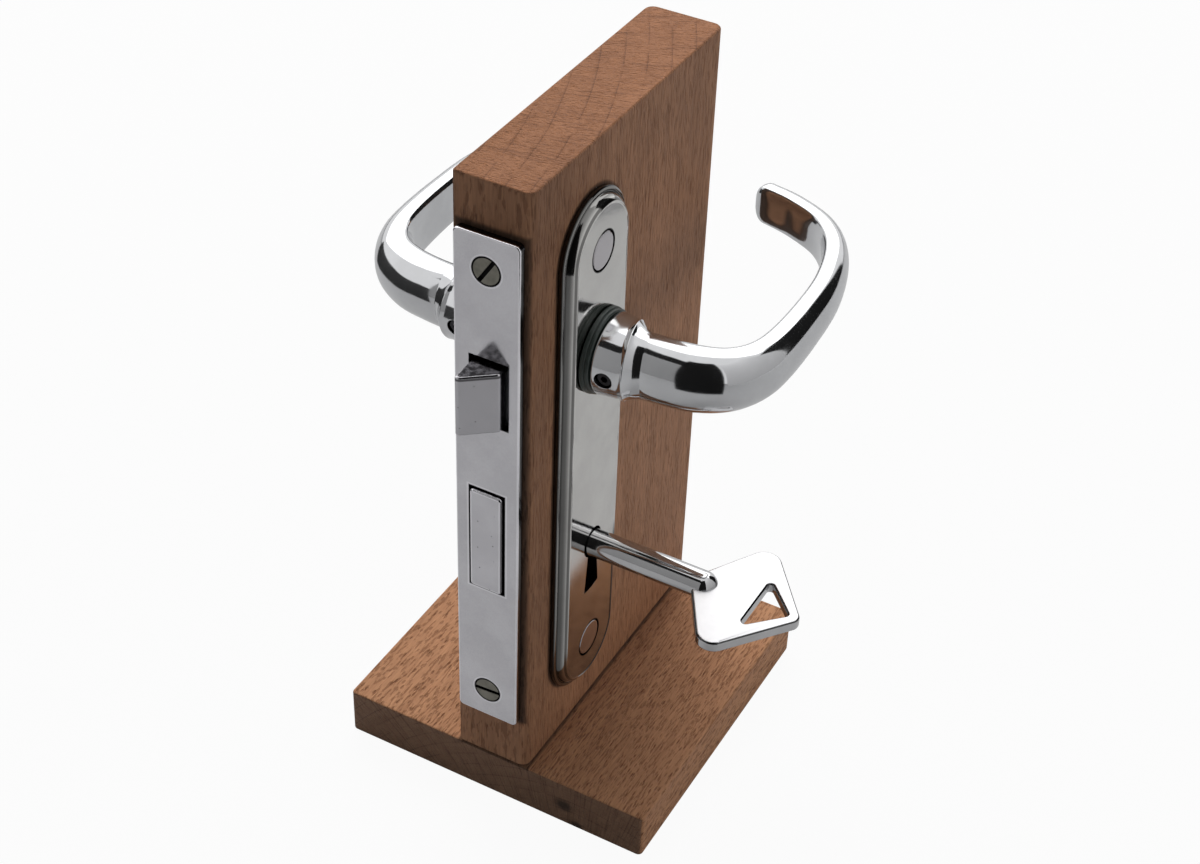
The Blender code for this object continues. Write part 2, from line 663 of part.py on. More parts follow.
def make_cover():
    low = (CASE_FRONT_Y, CASE_BOTTOM_Z)
    high = (CASE_BACK_Y, CASE_TOP_Z)
    journal = arc((AXIS_Y, SPINDLE_Z), HUB_JOURNAL_RADIUS + RUN_GAP, 0, 345, 23)
    outlines = [rectangle(low, high), journal, case_keyhole()]
    mesh = prism_mesh("cover", outlines, CASE_SHEET, PLANE_YZ, CASE_INNER_HALF)
    cover = add_piece("case_cover", mesh, "zinc_steel")
    for index, (y, z) in enumerate(pillar_places()):
        place = at(CASE_HALF, y, z) @ ALONG_X
        hole = countersunk_hole(CASE_SCREW_HEAD_RADIUS, CASE_SCREW_RADIUS, CASE_SHEET,
                                CASE_SHEET * 0.8)
        cut(cover, turned_mesh("hole", hole, place, 16), "screw_hole_%d" % index)
        screw = countersunk_screw(CASE_SCREW_HEAD_RADIUS, CASE_SCREW_RADIUS, CASE_SCREW_LENGTH,
                                  CASE_SHEET * 0.8)
        name = "cover_screw_%d" % (index + 1)
        piece = add_piece(name, smooth(turned_mesh(name, screw, place, 16)), "satin_steel")
        head = CASE_SCREW_HEAD_RADIUS + CUT_OVERRUN
        slot = box_mesh("slot", (CASE_HALF - SLOT_DEPTH / 2, y - head, z - SLOT_WIDTH / 3),
                        (CASE_HALF + CUT_OVERRUN, y + head, z + SLOT_WIDTH / 3))
        cut(piece, slot, "slot")
        bore = CASE_SCREW_RADIUS + SEAT_GAP
        pillar = [(bore, PIN_HALF), (PILLAR_RADIUS, PIN_HALF), (PILLAR_RADIUS, -PIN_HALF),
                  (bore, -PIN_HALF)]
        name = "case_pillar_%d" % (index + 1)
        mesh = turned_mesh(name, pillar, at(0, y, z) @ ALONG_X, 16, closed=True)
        add_piece(name, smooth(mesh), "zinc_steel")


def make_pins():
    stop_front = AXIS_Y - ARM_THICK / 2 - PIN_RADIUS - SEAT_GAP * 2
    stop_z = SPINDLE_Z + ARM_REACH * 0.8
    pins = (
        ("follower_stop_pin", stop_front, stop_z, PIN_HALF),
        ("bolt_guide_pin", AXIS_Y + GUIDE_PIN_BEHIND_AXIS, KEY_Z + GUIDE_ABOVE_KEY,
         BOLT_PLATE_THICK / 2 + SEAT_GAP * 2 / 3),
        ("tumbler_pivot_pin", AXIS_Y + TUMBLER_PIVOT_BEHIND_AXIS, KEY_Z + TUMBLER_PIVOT_ABOVE_KEY,
         PIN_HALF),
    )
    for name, y, z, far_end in pins:
        mesh = rod_mesh(name, PIN_RADIUS, -PIN_HALF, far_end, at(y=y, z=z) @ ALONG_X, 20)
        add_piece(name, smooth(mesh), "satin_steel")


def bolt_opening(width, low_z, high_z, gap, shift=0.0):
    low = (shift - width / 2 - gap, low_z - gap)
    high = (shift + width / 2 + gap, high_z + gap)
    return rectangle(low, high)


def make_forend():
    radii = (FOREND_CORNER,) * 4
    outline = rounded_rectangle(FOREND_WIDTH, FOREND_LENGTH, radii, (0.0, FOREND_Z))
    half_latch = LATCH_HEIGHT / 2
    outlines = [
        outline,
        bolt_opening(LATCH_WIDTH, SPINDLE_Z - half_latch, SPINDLE_Z + half_latch,
                     LATCH_OPENING_GAP, LATCH_SHIFT),
        bolt_opening(BOLT_THICK, DEADBOLT_BOTTOM_Z, DEADBOLT_TOP_Z, DEADBOLT_OPENING_GAP),
    ]
    mesh = prism_mesh("forend", outlines, FOREND_THICK, PLANE_XZ, -FOREND_BACK_Y)
    forend = add_piece("forend", mesh, "polished_chrome")
    round_edges(forend, FOREND_EDGE, 1, 50.0)
    turns = (UPPER_SLOT_TURN, LOWER_SLOT_TURN)
    for index, side in enumerate((1, -1)):
        z = FOREND_Z + side * FOREND_SCREW_SPACING / 2
        place = at(y=FOREND_FACE_Y, z=z) @ ALONG_MINUS_Y
        hole = countersunk_hole(FOREND_SCREW_HEAD_RADIUS, FOREND_SCREW_RADIUS, FOREND_THICK,
                                FOREND_THICK - SCREW_LIP)
        cut(forend, turned_mesh("hole", hole, place, 28), "screw_hole_%d" % index)
        screw = countersunk_screw(FOREND_SCREW_HEAD_RADIUS, FOREND_SCREW_RADIUS,
                                  FOREND_SCREW_LENGTH, FOREND_THICK - SCREW_LIP, SCREW_POINT)
        name = ("forend_screw_upper", "forend_screw_lower")[index]
        piece = add_piece(name, smooth(turned_mesh(name, screw, place, 28)), "satin_steel")
        reach = FOREND_SCREW_HEAD_RADIUS * 1.5
        slot = box_mesh("slot", (-reach, -SLOT_WIDTH / 2, -SLOT_DEPTH),
                        (reach, SLOT_WIDTH / 2, CUT_OVERRUN))
        slot.transform(place @ Matrix.Rotation(turns[index], 4, "Z"))
        cut(piece, slot, "slot")


def make_latch():
    pivot = add_pivot("latch_slide_axis", (0.0, LATCH_TIP_Y, SPINDLE_Z))
    near = LATCH_SHIFT - LATCH_WIDTH / 2
    far = LATCH_SHIFT + LATCH_WIDTH / 2
    bevel_y = FOREND_FACE_Y - LATCH_SIDE_DEPTH
    outline = [(near, LATCH_TIP_Y), (near + LATCH_TIP_LAND, LATCH_TIP_Y), (far, bevel_y),
               (far, LATCH_REAR_Y), (near, LATCH_REAR_Y)]
    low_z = SPINDLE_Z - LATCH_HEIGHT / 2
    mesh = prism_mesh("latch_bolt", [outline], LATCH_HEIGHT, PLANE_XY, low_z)
    latch = add_piece("latch_bolt", mesh, "polished_chrome", pivot)
    round_edges(latch, BOLT_EDGE, 2, 20.0)
    inset = BOLT_EDGE * 2
    shoulder = box_mesh("shoulder", (near + inset, CASE_FRONT_Y + SEAT_GAP,
                                     low_z - LATCH_SHOULDER),
                        (far - inset, LATCH_REAR_Y - inset,
                         low_z + LATCH_HEIGHT + LATCH_SHOULDER))
    join(latch, shoulder, "shoulder")
    web_front = LATCH_REAR_Y - TAIL_LAP
    web_rear = web_front + TAIL_WALL
    lug_low = STRIP_Z - LUG_REACH
    tail = [(web_front, SPINDLE_Z), (web_rear, SPINDLE_Z), (web_rear, STRIP_Z),
            (LUG_FRONT_Y, STRIP_Z), (LUG_FRONT_Y, lug_low), (LUG_REAR_Y, lug_low),
            (LUG_REAR_Y, STRIP_Z + TAIL_STRIP), (web_front, STRIP_Z + TAIL_STRIP)]
    join(latch, prism_mesh("tail", [tail], TAIL_THICK, PLANE_YZ), "tail")
    spigot = rod_mesh("spigot", SPIGOT_RADIUS, LUG_REAR_Y - LUG_THICK / 2,
                      LUG_REAR_Y + SPIGOT_LENGTH, at(z=SPRING_Z) @ ALONG_Y, 16)
    join(latch, spigot, "spring_spigot")


def make_latch_spring():
    """A closed-end coil between the latch's lug and the case's rear wall."""
    start = LUG_REAR_Y + SEAT_GAP + SPRING_WIRE / 2
    end = CASE_BACK_Y - CASE_SHEET - SEAT_GAP - SPRING_WIRE / 2
    steps_per_turn = 12
    count = SPRING_TURNS * steps_per_turn
    curve = bpy.data.curves.new("latch_spring", "CURVE")
    curve.dimensions = "3D"
    curve.bevel_depth = SPRING_WIRE / 2
    curve.bevel_resolution = 1
    curve.use_fill_caps = True
    spline = curve.splines.new("POLY")
    spline.points.add(count)
    for i, point in enumerate(spline.points):
        angle = 2 * math.pi * i / steps_per_turn
        y = start + (end - start) * i / count
        point.co = (SPRING_RADIUS * math.cos(angle), y, SPRING_Z + SPRING_RADIUS * math.sin(angle),
                    1.0)
    guide = add_cutter("latch_spring_path", curve)
    bpy.context.view_layer.update()
    mesh = evaluated_mesh(guide)
    bpy.data.objects.remove(guide, do_unlink=True)
    add_piece("latch_spring", smooth(mesh, 60.0), "spring_steel")


def talon_limits():
    """Front and rear of the notch that the bit's centre step sweeps, from the key's axis."""
    entry = math.asin(BOLT_PLATE_BOTTOM / KEY_BIT_RADIUS)
    reach = KEY_BIT_RADIUS * math.cos(entry)
    margin = KEY_BIT_THICK / 2 + RUN_GAP
    travel_per_turn = DEADBOLT_TRAVEL / (2 * math.pi)
    rear = reach + entry * travel_per_turn + margin
    front = -reach + (math.pi - entry) * travel_per_turn - margin
    return front, rear


def make_deadbolt():
    pivot = add_pivot("deadbolt_slide_axis", (0.0, DEADBOLT_FACE_Y, KEY_Z))
    half = BOLT_THICK / 2
    head = box_mesh("deadbolt", (-half, DEADBOLT_FACE_Y, DEADBOLT_BOTTOM_Z),
                    (half, DEADBOLT_REAR_Y, DEADBOLT_TOP_Z))
    deadbolt = add_piece("deadbolt", head, "polished_chrome", pivot)
    round_edges(deadbolt, BOLT_EDGE, 2, 50.0)
    front, rear = talon_limits()
    inside_head = DEADBOLT_REAR_Y - BOLT_PLATE_LAP
    end = AXIS_Y + BOLT_PLATE_REACH
    bottom = KEY_Z + BOLT_PLATE_BOTTOM
    notch_top = KEY_Z + KEY_BIT_RADIUS + RUN_GAP
    top = KEY_Z + BOLT_PLATE_TOP
    plate = [(inside_head, bottom), (AXIS_Y + front, bottom), (AXIS_Y + front, notch_top),
             (AXIS_Y + rear, notch_top), (AXIS_Y + rear, bottom), (end, bottom), (end, top),
             (inside_head, top)]
    slot_half = PIN_RADIUS + RUN_GAP
    guide_y = AXIS_Y + GUIDE_PIN_BEHIND_AXIS
    guide_z = KEY_Z + GUIDE_ABOVE_KEY
    slot = arc((guide_y + DEADBOLT_FORWARD_TRAVEL, guide_z), slot_half, -90, 90, 6)
    slot += arc((guide_y - DEADBOLT_BACK_TRAVEL, guide_z), slot_half, 90, 270, 6)
    join(deadbolt, prism_mesh("bolt_plate", [plate, slot], BOLT_PLATE_THICK, PLANE_YZ), "plate")
    stump = rod_mesh("stump", STUMP_RADIUS, 0.0, CASE_INNER_HALF - RUN_GAP,
                     at(y=AXIS_Y + STUMP_BEHIND_AXIS, z=guide_z) @ ALONG_X, 16)
    join(deadbolt, stump, "stump")


def tumbler_outline():
    """Saddle-bellied plate with a boss round its pivot."""
    pivot_y = AXIS_Y + TUMBLER_PIVOT_BEHIND_AXIS
    pivot_z = KEY_Z + TUMBLER_PIVOT_ABOVE_KEY
    front = DEADBOLT_REAR_Y + DEADBOLT_BACK_TRAVEL + RUN_GAP
    top = KEY_Z + BOLT_PLATE_TOP + TUMBLER_WALL
    belly = KEY_BIT_SIDE_RADIUS + RUN_GAP * 1.25
    points = [(front, top)]
    points += arc((AXIS_Y, KEY_Z), belly, 130, 48, 8)
    points += arc((pivot_y, pivot_z), TUMBLER_BOSS_RADIUS, -100, 60, 8)
    points.append((pivot_y - TUMBLER_BOSS_RADIUS * 2, top))
    return points


def tumbler_window():
    """Opening that the deadbolt's stump runs in, with the tumbler down or lifted."""
    stump_y = AXIS_Y + STUMP_BEHIND_AXIS
    low_y = stump_y - DEADBOLT_FORWARD_TRAVEL - STUMP_RADIUS
    high_y = stump_y + DEADBOLT_BACK_TRAVEL + STUMP_RADIUS
    pivot_y = AXIS_Y + TUMBLER_PIVOT_BEHIND_AXIS
    rise = (pivot_y - low_y) * math.sin(TUMBLER_LIFT)
    shift = (GUIDE_ABOVE_KEY + STUMP_RADIUS - TUMBLER_PIVOT_ABOVE_KEY) * math.sin(TUMBLER_LIFT)
    low = (low_y - RUN_GAP - shift, KEY_Z + GUIDE_ABOVE_KEY - STUMP_RADIUS - RUN_GAP - rise)
    high = (high_y + RUN_GAP, KEY_Z + GUIDE_ABOVE_KEY + STUMP_RADIUS + RUN_GAP)
    return rectangle(low, high)


def make_tumblers():
    pivot_y = AXIS_Y + TUMBLER_PIVOT_BEHIND_AXIS
    pivot_z = KEY_Z + TUMBLER_PIVOT_ABOVE_KEY
    hole = arc((pivot_y, pivot_z), PIN_RADIUS + SEAT_GAP, 0, 340, 17)
    seat_y = pivot_y - TUMBLER_BOSS_RADIUS * 2
    seat_z = KEY_Z + BOLT_PLATE_TOP + TUMBLER_WALL + SEAT_GAP
    centre = (seat_y, seat_z + LEAF_BEND)
    leaf = arc(centre, LEAF_BEND, -90, -90 - LEAF_SWEEP, 8)
    leaf += arc(centre, LEAF_BEND - LEAF_THICK, -90 - LEAF_SWEEP, -90, 8)
    for index in range(TUMBLER_COUNT):
        start = BOLT_PLATE_THICK / 2 + RUN_GAP + index * (TUMBLER_THICK + RUN_GAP)
        pivot = add_pivot("tumbler_axis_%d" % (index + 1), (start, pivot_y, pivot_z))
        mesh = prism_mesh("tumbler", [tumbler_outline(), tumbler_window(), hole], TUMBLER_THICK,
                          PLANE_YZ, start)
        add_piece("tumbler_%d" % (index + 1), mesh, "brass", pivot)
        mesh = prism_mesh("leaf", [leaf], TUMBLER_THICK, PLANE_YZ, start)
        add_piece("tumbler_leaf_%d" % (index + 1), mesh, "spring_steel", pivot)


def make_follower(pivot):
    hub_half = CASE_INNER_HALF - RUN_GAP
    journal_half = CASE_HALF - SEAT_GAP / 3
    profile = [(0.0, journal_half), (HUB_JOURNAL_RADIUS, journal_half),
               (HUB_JOURNAL_RADIUS, hub_half), (HUB_RADIUS, hub_half), (HUB_RADIUS, -hub_half),
               (HUB_JOURNAL_RADIUS, -hub_half), (HUB_JOURNAL_RADIUS, -journal_half),
               (0.0, -journal_half)]
    mesh = turned_mesh("follower", profile, at(y=AXIS_Y, z=SPINDLE_Z) @ ALONG_X, 32)
    follower = add_piece("follower", smooth(mesh), "brass", pivot)
    tip = ARM_THICK / 2
    foot = ARM_THICK * 0.8
    arm = [(AXIS_Y - foot, SPINDLE_Z), (AXIS_Y + foot, SPINDLE_Z),
           (AXIS_Y + tip, SPINDLE_Z + HUB_RADIUS + ARM_ROOT)]
    arm += arc((AXIS_Y, SPINDLE_Z + ARM_REACH - tip), tip, 0, 180, 8)
    arm.append((AXIS_Y - tip, SPINDLE_Z + HUB_RADIUS + ARM_ROOT))
    join(follower, prism_mesh("arm", [arm], hub_half * 1.5, PLANE_YZ), "arm")
    half = SOCKET_SIZE / 2
    hole = box_mesh("hole", (-CASE_HALF - CUT_OVERRUN, AXIS_Y - half, SPINDLE_Z - half),
                    (CASE_HALF + CUT_OVERRUN, AXIS_Y + half, SPINDLE_Z + half))
    cut(follower, hole, "square_hole")


def catmull_rom(a, b, c, d, t):
    return 0.5 * ((2 * b) + (c - a) * t + (2 * a - 5 * b + 4 * c - d) * t ** 2
                  + (3 * b - a - 3 * c + d) * t ** 3)


def grip_path():
    """Smooth stations through GRIP_STATIONS: lists of [out, back, half thickness, half height]."""
    rows = [GRIP_STATIONS[0], *GRIP_STATIONS, GRIP_STATIONS[-1]]
    path = []
    for i in range(1, len(rows) - 2):
        for step in range(GRIP_STEPS):
            t = step / GRIP_STEPS
            path.append([catmull_rom(*values, t) for values in zip(*rows[i - 1:i + 3])])
    path.append(list(GRIP_STATIONS[-1]))
    return path


def section(side, out, back, direction, half_thick, half_height, grip):
    """One ring of the handle. grip is 0 where the section is round and 1 where it is a D."""
    inward = Vector((-direction.y, direction.x))
    points = []
    for i in range(SECTION_POINTS):
        angle = 2 * math.pi * i / SECTION_POINTS
        across = math.cos(angle)
        up = math.sin(angle)
        if across > 0:
            power = ROUND_POWER + (INNER_POWER - ROUND_POWER) * grip
            width = half_thick * (1 - (1 - INNER_FLATNESS) * grip)
        else:
            power = ROUND_POWER + (OUTER_POWER - ROUND_POWER) * grip
            width = half_thick * (1 + (1 - INNER_FLATNESS) * grip)
        u = math.copysign(abs(across) ** (2 / power), across) * width
        v = math.copysign(abs(up) ** (2 / power), up) * half_height
        x = side * (out + inward.x * u)
        points.append(Vector((x, AXIS_Y + back + inward.y * u, SPINDLE_Z + v)))
    return points


def handle_rings(side):
    ahead = Vector((1.0, 0.0))
    tilted = Vector((math.cos(RIDGE_TILT), math.sin(RIDGE_TILT)))
    radius = COLLAR_RADIUS
    rings = [
        section(side, COLLAR_X, 0.0, ahead, radius - COLLAR_EDGE, radius - COLLAR_EDGE, 0.0),
        section(side, COLLAR_X + COLLAR_EDGE, 0.0, ahead, radius, radius, 0.0),
        section(side, RIDGE_OUT, 0.0, tilted, RIDGE_RADIUS, RIDGE_RADIUS, 0.0),
    ]
    for out, back, half_thick, half_height in NECK_STATIONS:
        rings.append(section(side, out, back, tilted, half_thick, half_height, 0.0))
    path = grip_path()
    for i, (out, back, half_thick, half_height) in enumerate(path):
        before = path[max(i - 1, 0)]
        after = path[min(i + 1, len(path) - 1)]
        direction = Vector((after[0] - before[0], after[1] - before[1])).normalized()
        grip = min(1.0, i / (len(path) * 0.4))
        rings.append(section(side, out, back, direction, half_thick, half_height, grip))
    out, back, half_thick, half_height = path[-1]
    for step in range(1, TIP_STEPS + 1):
        angle = math.pi / 2 * step / (TIP_STEPS + 0.5)
        reach = TIP_LENGTH * math.sin(angle)
        scale = math.cos(angle)
        rings.append(section(side, out + direction.x * reach, back + direction.y * reach,
                             direction, half_thick * scale, half_height * scale, 1.0))
    return rings


def make_handle(side, label, pivot, play):
    """play is how far the handle sits turned up from level on its square."""
    mesh = loft_mesh("handle_" + label, handle_rings(side))
    axis = at(y=AXIS_Y, z=SPINDLE_Z)
    mesh.transform(axis @ Matrix.Rotation(play, 4, "X") @ axis.inverted())
    handle = add_piece("handle_" + label, smooth(mesh, 40.0), "polished_chrome", pivot)
    along = ALONG_X if side > 0 else ALONG_MINUS_X
    spigot = rod_mesh("spigot", NECK_SPIGOT_RADIUS, BUSH_FRONT_X - BUSH_FLANGE - BUSH_SPIGOT_LENGTH,
                      COLLAR_X + COLLAR_EDGE, axis @ along, 28)
    join(handle, spigot, "spigot")
    half = SOCKET_SIZE / 2
    ends = sorted((side * BLOCK_FACE, side * (SPINDLE_LENGTH / 2 + SEAT_GAP * 2)))
    socket = box_mesh("socket", (ends[0], AXIS_Y - half, SPINDLE_Z - half),
                      (ends[1], AXIS_Y + half, SPINDLE_Z + half))
    cut(handle, socket, "socket")
    aim = at(side * GRUB_OUT, AXIS_Y, SPINDLE_Z) @ Matrix.Rotation(GRUB_TURN, 4, "X")
    aim = aim @ ALONG_MINUS_Y
    hole = rod_mesh("hole", GRUB_RADIUS + SEAT_GAP, half * 0.5, RIDGE_RADIUS + CUT_OVERRUN, aim, 20)
    cut(handle, hole, "grub_hole")
    inner = half + SEAT_GAP
    outer = COLLAR_RADIUS - GRUB_RECESS
    profile = [(0.0, outer), (GRUB_RADIUS, outer), (GRUB_RADIUS, inner + GRUB_RADIUS * 0.35),
               (GRUB_RADIUS * 0.5, inner), (0.0, inner)]
    name = "grub_screw_" + label
    grub = add_piece(name, smooth(turned_mesh(name, profile, aim, 20)), "dark_steel", pivot)
    hexagon = rod_mesh("hexagon", GRUB_SOCKET, outer - GRUB_SOCKET_DEPTH, outer + CUT_OVERRUN, aim, 6)
    cut(grub, hexagon, "hexagon")


def make_handle_set():
    pivot = add_pivot("handle_axis", (0.0, AXIS_Y, SPINDLE_Z))
    make_follower(pivot)
    half = SPINDLE_SIZE / 2
    spindle = box_mesh("spindle", (-SPINDLE_LENGTH / 2, AXIS_Y - half, SPINDLE_Z - half),
                       (SPINDLE_LENGTH / 2, AXIS_Y + half, SPINDLE_Z + half))
    piece = add_piece("spindle", spindle, "satin_steel", pivot)
    round_edges(piece, SPINDLE_EDGE, 1, 50.0)
    make_handle(1, "right", pivot, 0.0)
    make_handle(-1, "left", pivot, LEFT_HANDLE_PLAY)


def make_bush(side, label):
    bore = NECK_SPIGOT_RADIUS + RUN_GAP
    back = BUSH_BACK_X
    front = BUSH_FRONT_X
    spigot_end = back - BUSH_SPIGOT_LENGTH
    edge = BUSH_EDGE
    profile = [(bore, front), (BUSH_RADIUS - edge * 2, front),
               (BUSH_RADIUS - edge * 0.75, front - edge * 1.25),
               (BUSH_RADIUS, front - edge * 3.25), (BUSH_RADIUS, back + edge),
               (BUSH_RADIUS - edge * 0.75, back), (BUSH_SPIGOT_RADIUS, back),
               (BUSH_SPIGOT_RADIUS, spigot_end), (bore, spigot_end)]
    place = at(y=AXIS_Y, z=SPINDLE_Z) @ (ALONG_X if side > 0 else ALONG_MINUS_X)
    mesh = turned_mesh("bush", profile, place, 36, closed=True)
    add_piece("bush_" + label, smooth(mesh), "black_nylon")


def make_plate(side, label):
    low_z = PLATE_SCREW_HEIGHTS[1]
    high_z = PLATE_SCREW_HEIGHTS[0]
    rings = []
    for inset, height in PLATE_EDGE_PROFILE:
        outline = stadium(PLATE_HALF_WIDTH - inset, AXIS_Y, low_z, high_z, 12)
        x = side * (PLATE_BACK_X + height)
        rings.append([Vector((x, y, z)) for y, z in outline])
    plate = add_piece("plate_" + label, smooth(loft_mesh("plate", rings), 25.0), "polished_chrome")
    along = ALONG_X if side > 0 else ALONG_MINUS_X
    ends = (PLATE_BACK_X - CUT_OVERRUN, PLATE_FACE_X + CUT_OVERRUN)
    cut(plate, rod_mesh("bore", BUSH_SPIGOT_RADIUS + SEAT_GAP, *ends,
                        at(y=AXIS_Y, z=SPINDLE_Z) @ along, 36), "bush_hole")
    keyhole = keyhole_outline(KEYHOLE_RADIUS, KEYHOLE_TOP_HALF, KEYHOLE_BOTTOM_HALF, KEYHOLE_DEPTH,
                              20)
    cut(plate, prism_mesh("keyhole", [keyhole], ends[1] - ends[0], PLANE_YZ,
                          min(side * ends[0], side * ends[1])), "keyhole")
    seat = PLATE_FACE_X - BOLT_HEAD_THICK - SEAT_GAP
    hole = SLEEVE_RADIUS + SEAT_GAP
    recess = BOLT_HEAD_RADIUS + SEAT_GAP
    stepped = [(0.0, ends[1]), (recess, ends[1]), (recess, seat), (hole, seat), (hole, ends[0]),
               (0.0, ends[0])]
    for index, z in enumerate(PLATE_SCREW_HEIGHTS):
        cut(plate, turned_mesh("hole", stepped, at(y=AXIS_Y, z=z) @ along, 32),
            "screw_hole_%d" % index)


def make_through_bolts():
    """Plain-headed sleeves from the key side, and the slotted bolts that screw into them."""
    seat = PLATE_FACE_X - BOLT_HEAD_THICK
    bore = THROUGH_BOLT_RADIUS + SEAT_GAP
    sleeve_end = seat - SLEEVE_LENGTH
    bore_end = seat - SLEEVE_WEB
    sleeve = [(0.0, PLATE_FACE_X), (BOLT_HEAD_RADIUS - BOLT_HEAD_EDGE, PLATE_FACE_X),
              (BOLT_HEAD_RADIUS, PLATE_FACE_X - BOLT_HEAD_EDGE), (BOLT_HEAD_RADIUS, seat),
              (SLEEVE_RADIUS, seat), (SLEEVE_RADIUS, sleeve_end), (bore, sleeve_end),
              (bore, bore_end), (0.0, bore_end)]
    bolt = [(0.0, PLATE_FACE_X), (BOLT_HEAD_RADIUS - BOLT_HEAD_EDGE, PLATE_FACE_X),
            (BOLT_HEAD_RADIUS, PLATE_FACE_X - BOLT_HEAD_EDGE), (BOLT_HEAD_RADIUS, seat),
            (THROUGH_BOLT_RADIUS, seat), (THROUGH_BOLT_RADIUS, seat - THROUGH_BOLT_LENGTH),
            (0.0, seat - THROUGH_BOLT_LENGTH)]
    for label, z in zip(("upper", "lower"), PLATE_SCREW_HEIGHTS):
        name = "plate_sleeve_" + label
        place = at(y=AXIS_Y, z=z)
        mesh = turned_mesh(name, sleeve, place @ ALONG_X, 32)
        add_piece(name, smooth(mesh), "satin_steel")
        name = "plate_bolt_" + label
        mesh = turned_mesh(name, bolt, place @ ALONG_MINUS_X, 32)
        piece = add_piece(name, smooth(mesh), "satin_steel")
        reach = BOLT_HEAD_RADIUS * 1.5
        slot = box_mesh("slot", (-PLATE_FACE_X - CUT_OVERRUN, -SLOT_WIDTH / 2, -reach),
                        (-PLATE_FACE_X + SLOT_DEPTH, SLOT_WIDTH / 2, reach))
        slot.transform(place)
        cut(piece, slot, "slot")


def mirrored(corners):
    """An outline on both sides of the key's axis from the corners on one side."""
    points = [(x, AXIS_Y + y) for x, y in corners]
    points += [(x, AXIS_Y - y) for x, y in reversed(corners) if y > 0]
    return points


def make_key():
    pivot = add_pivot("key_axis", (0.0, AXIS_Y, KEY_Z))
    radius = KEY_STEM_RADIUS
    outer = KEY_STEM_OUTER_END
    inner = KEY_STEM_INNER_END
    dome = arc((0.0, outer - radius), radius, 90, 0, 5)
    profile = dome + [(radius, inner + KEY_STEM_EDGE), (radius - KEY_STEM_EDGE, inner), (0.0, inner)]
    profile[0] = (0.0, outer)
    mesh = turned_mesh("key", profile, at(y=AXIS_Y, z=KEY_Z) @ ALONG_X, 28)
    key = add_piece("key", smooth(mesh), "polished_chrome", pivot)
    radii = KEY_BOW_CORNER_RADII
    bow = rounded_corners(mirrored(KEY_BOW_CORNERS), radii + radii[1::-1])
    hole_radii = (KEY_HOLE_CORNER_RADIUS,) * 3
    hole = rounded_corners(mirrored(KEY_HOLE_CORNERS), hole_radii, 3)
    bow_mesh = prism_mesh("bow", [bow, hole], KEY_BOW_THICK, at(z=KEY_Z - KEY_BOW_DROP))
    bow_guide = add_cutter("bow_guide", bow_mesh)
    round_edges(bow_guide, KEY_BOW_EDGE, 3, 50.0)
    bpy.context.view_layer.update()
    join(key, evaluated_mesh(bow_guide), "bow")
    bpy.data.objects.remove(bow_guide, do_unlink=True)
    half = KEY_BIT_LENGTH / 2
    step = KEY_BIT_CENTRE_STEP / 2
    tip = AXIS_Y + KEY_BIT_RADIUS
    shoulder = AXIS_Y + KEY_BIT_SIDE_RADIUS
    bit = [(-half, AXIS_Y), (half, AXIS_Y), (half, shoulder), (step, shoulder), (step, tip),
           (-step, tip), (-step, shoulder), (-half, shoulder)]
    join(key, prism_mesh("bit", [bit], KEY_BIT_THICK, at(z=KEY_Z) @ PLANE_XY), "bit")


def build():
    clear_scene()
    new_collection(PART_COLLECTION)
    new_collection(CUTTER_COLLECTION)
    make_foot()
    make_block()
    make_case()
    make_cover()
    make_pins()
    make_forend()
    make_latch()
    make_latch_spring()
    make_deadbolt()
    make_tumblers()
    make_handle_set()
    for side, label in ((1, "right"), (-1, "left")):
        make_bush(side, label)
        make_plate(side, label)
    make_through_bolts()
    make_key()


build()
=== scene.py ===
# %% [markdown]
# # A mortise lock on a beech display block
# A mortise lock lives inside the edge of a door. This one is shown on a short block of beech
# that stands for the door: a polished forend with its latch and deadbolt, a long plate and a
# lever handle on each side, and a key in the lower keyhole. The metal is chrome plated, so most
# of what the eye reads as its shape is the studio mirrored in it. That is why the curved pieces
# are remade here with far more faces than the measured model needs.

# %% Load the measured model
import math

import bmesh
import bpy
from mathutils import Matrix, Vector


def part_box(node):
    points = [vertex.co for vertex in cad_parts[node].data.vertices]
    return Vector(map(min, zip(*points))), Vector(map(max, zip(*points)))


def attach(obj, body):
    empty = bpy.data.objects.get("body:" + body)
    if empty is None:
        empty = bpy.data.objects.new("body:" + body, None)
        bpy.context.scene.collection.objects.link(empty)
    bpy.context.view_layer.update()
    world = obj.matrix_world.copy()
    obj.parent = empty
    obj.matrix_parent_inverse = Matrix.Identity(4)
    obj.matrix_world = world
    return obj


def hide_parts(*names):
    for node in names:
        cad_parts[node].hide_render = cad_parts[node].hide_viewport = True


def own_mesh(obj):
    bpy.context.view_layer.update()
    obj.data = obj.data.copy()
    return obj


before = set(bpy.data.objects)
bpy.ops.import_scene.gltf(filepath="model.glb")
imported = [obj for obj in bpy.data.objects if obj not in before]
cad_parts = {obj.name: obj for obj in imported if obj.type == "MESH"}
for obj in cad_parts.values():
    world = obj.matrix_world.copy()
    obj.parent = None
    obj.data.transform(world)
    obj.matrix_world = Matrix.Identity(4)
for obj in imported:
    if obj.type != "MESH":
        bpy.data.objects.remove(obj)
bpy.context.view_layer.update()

# %% [markdown]
# ## Where things are
# Everything is in metres, with +Z up. The forend faces -Y and the key stands on the +X side.
# The measured model says where each piece is, so the few places below are read from it, and
# every other size hangs off them. A rectangle on the front is given as two corners of (x, z).
# The sleeve, the key's stem and its bow are here because both a shape and a finish need them.

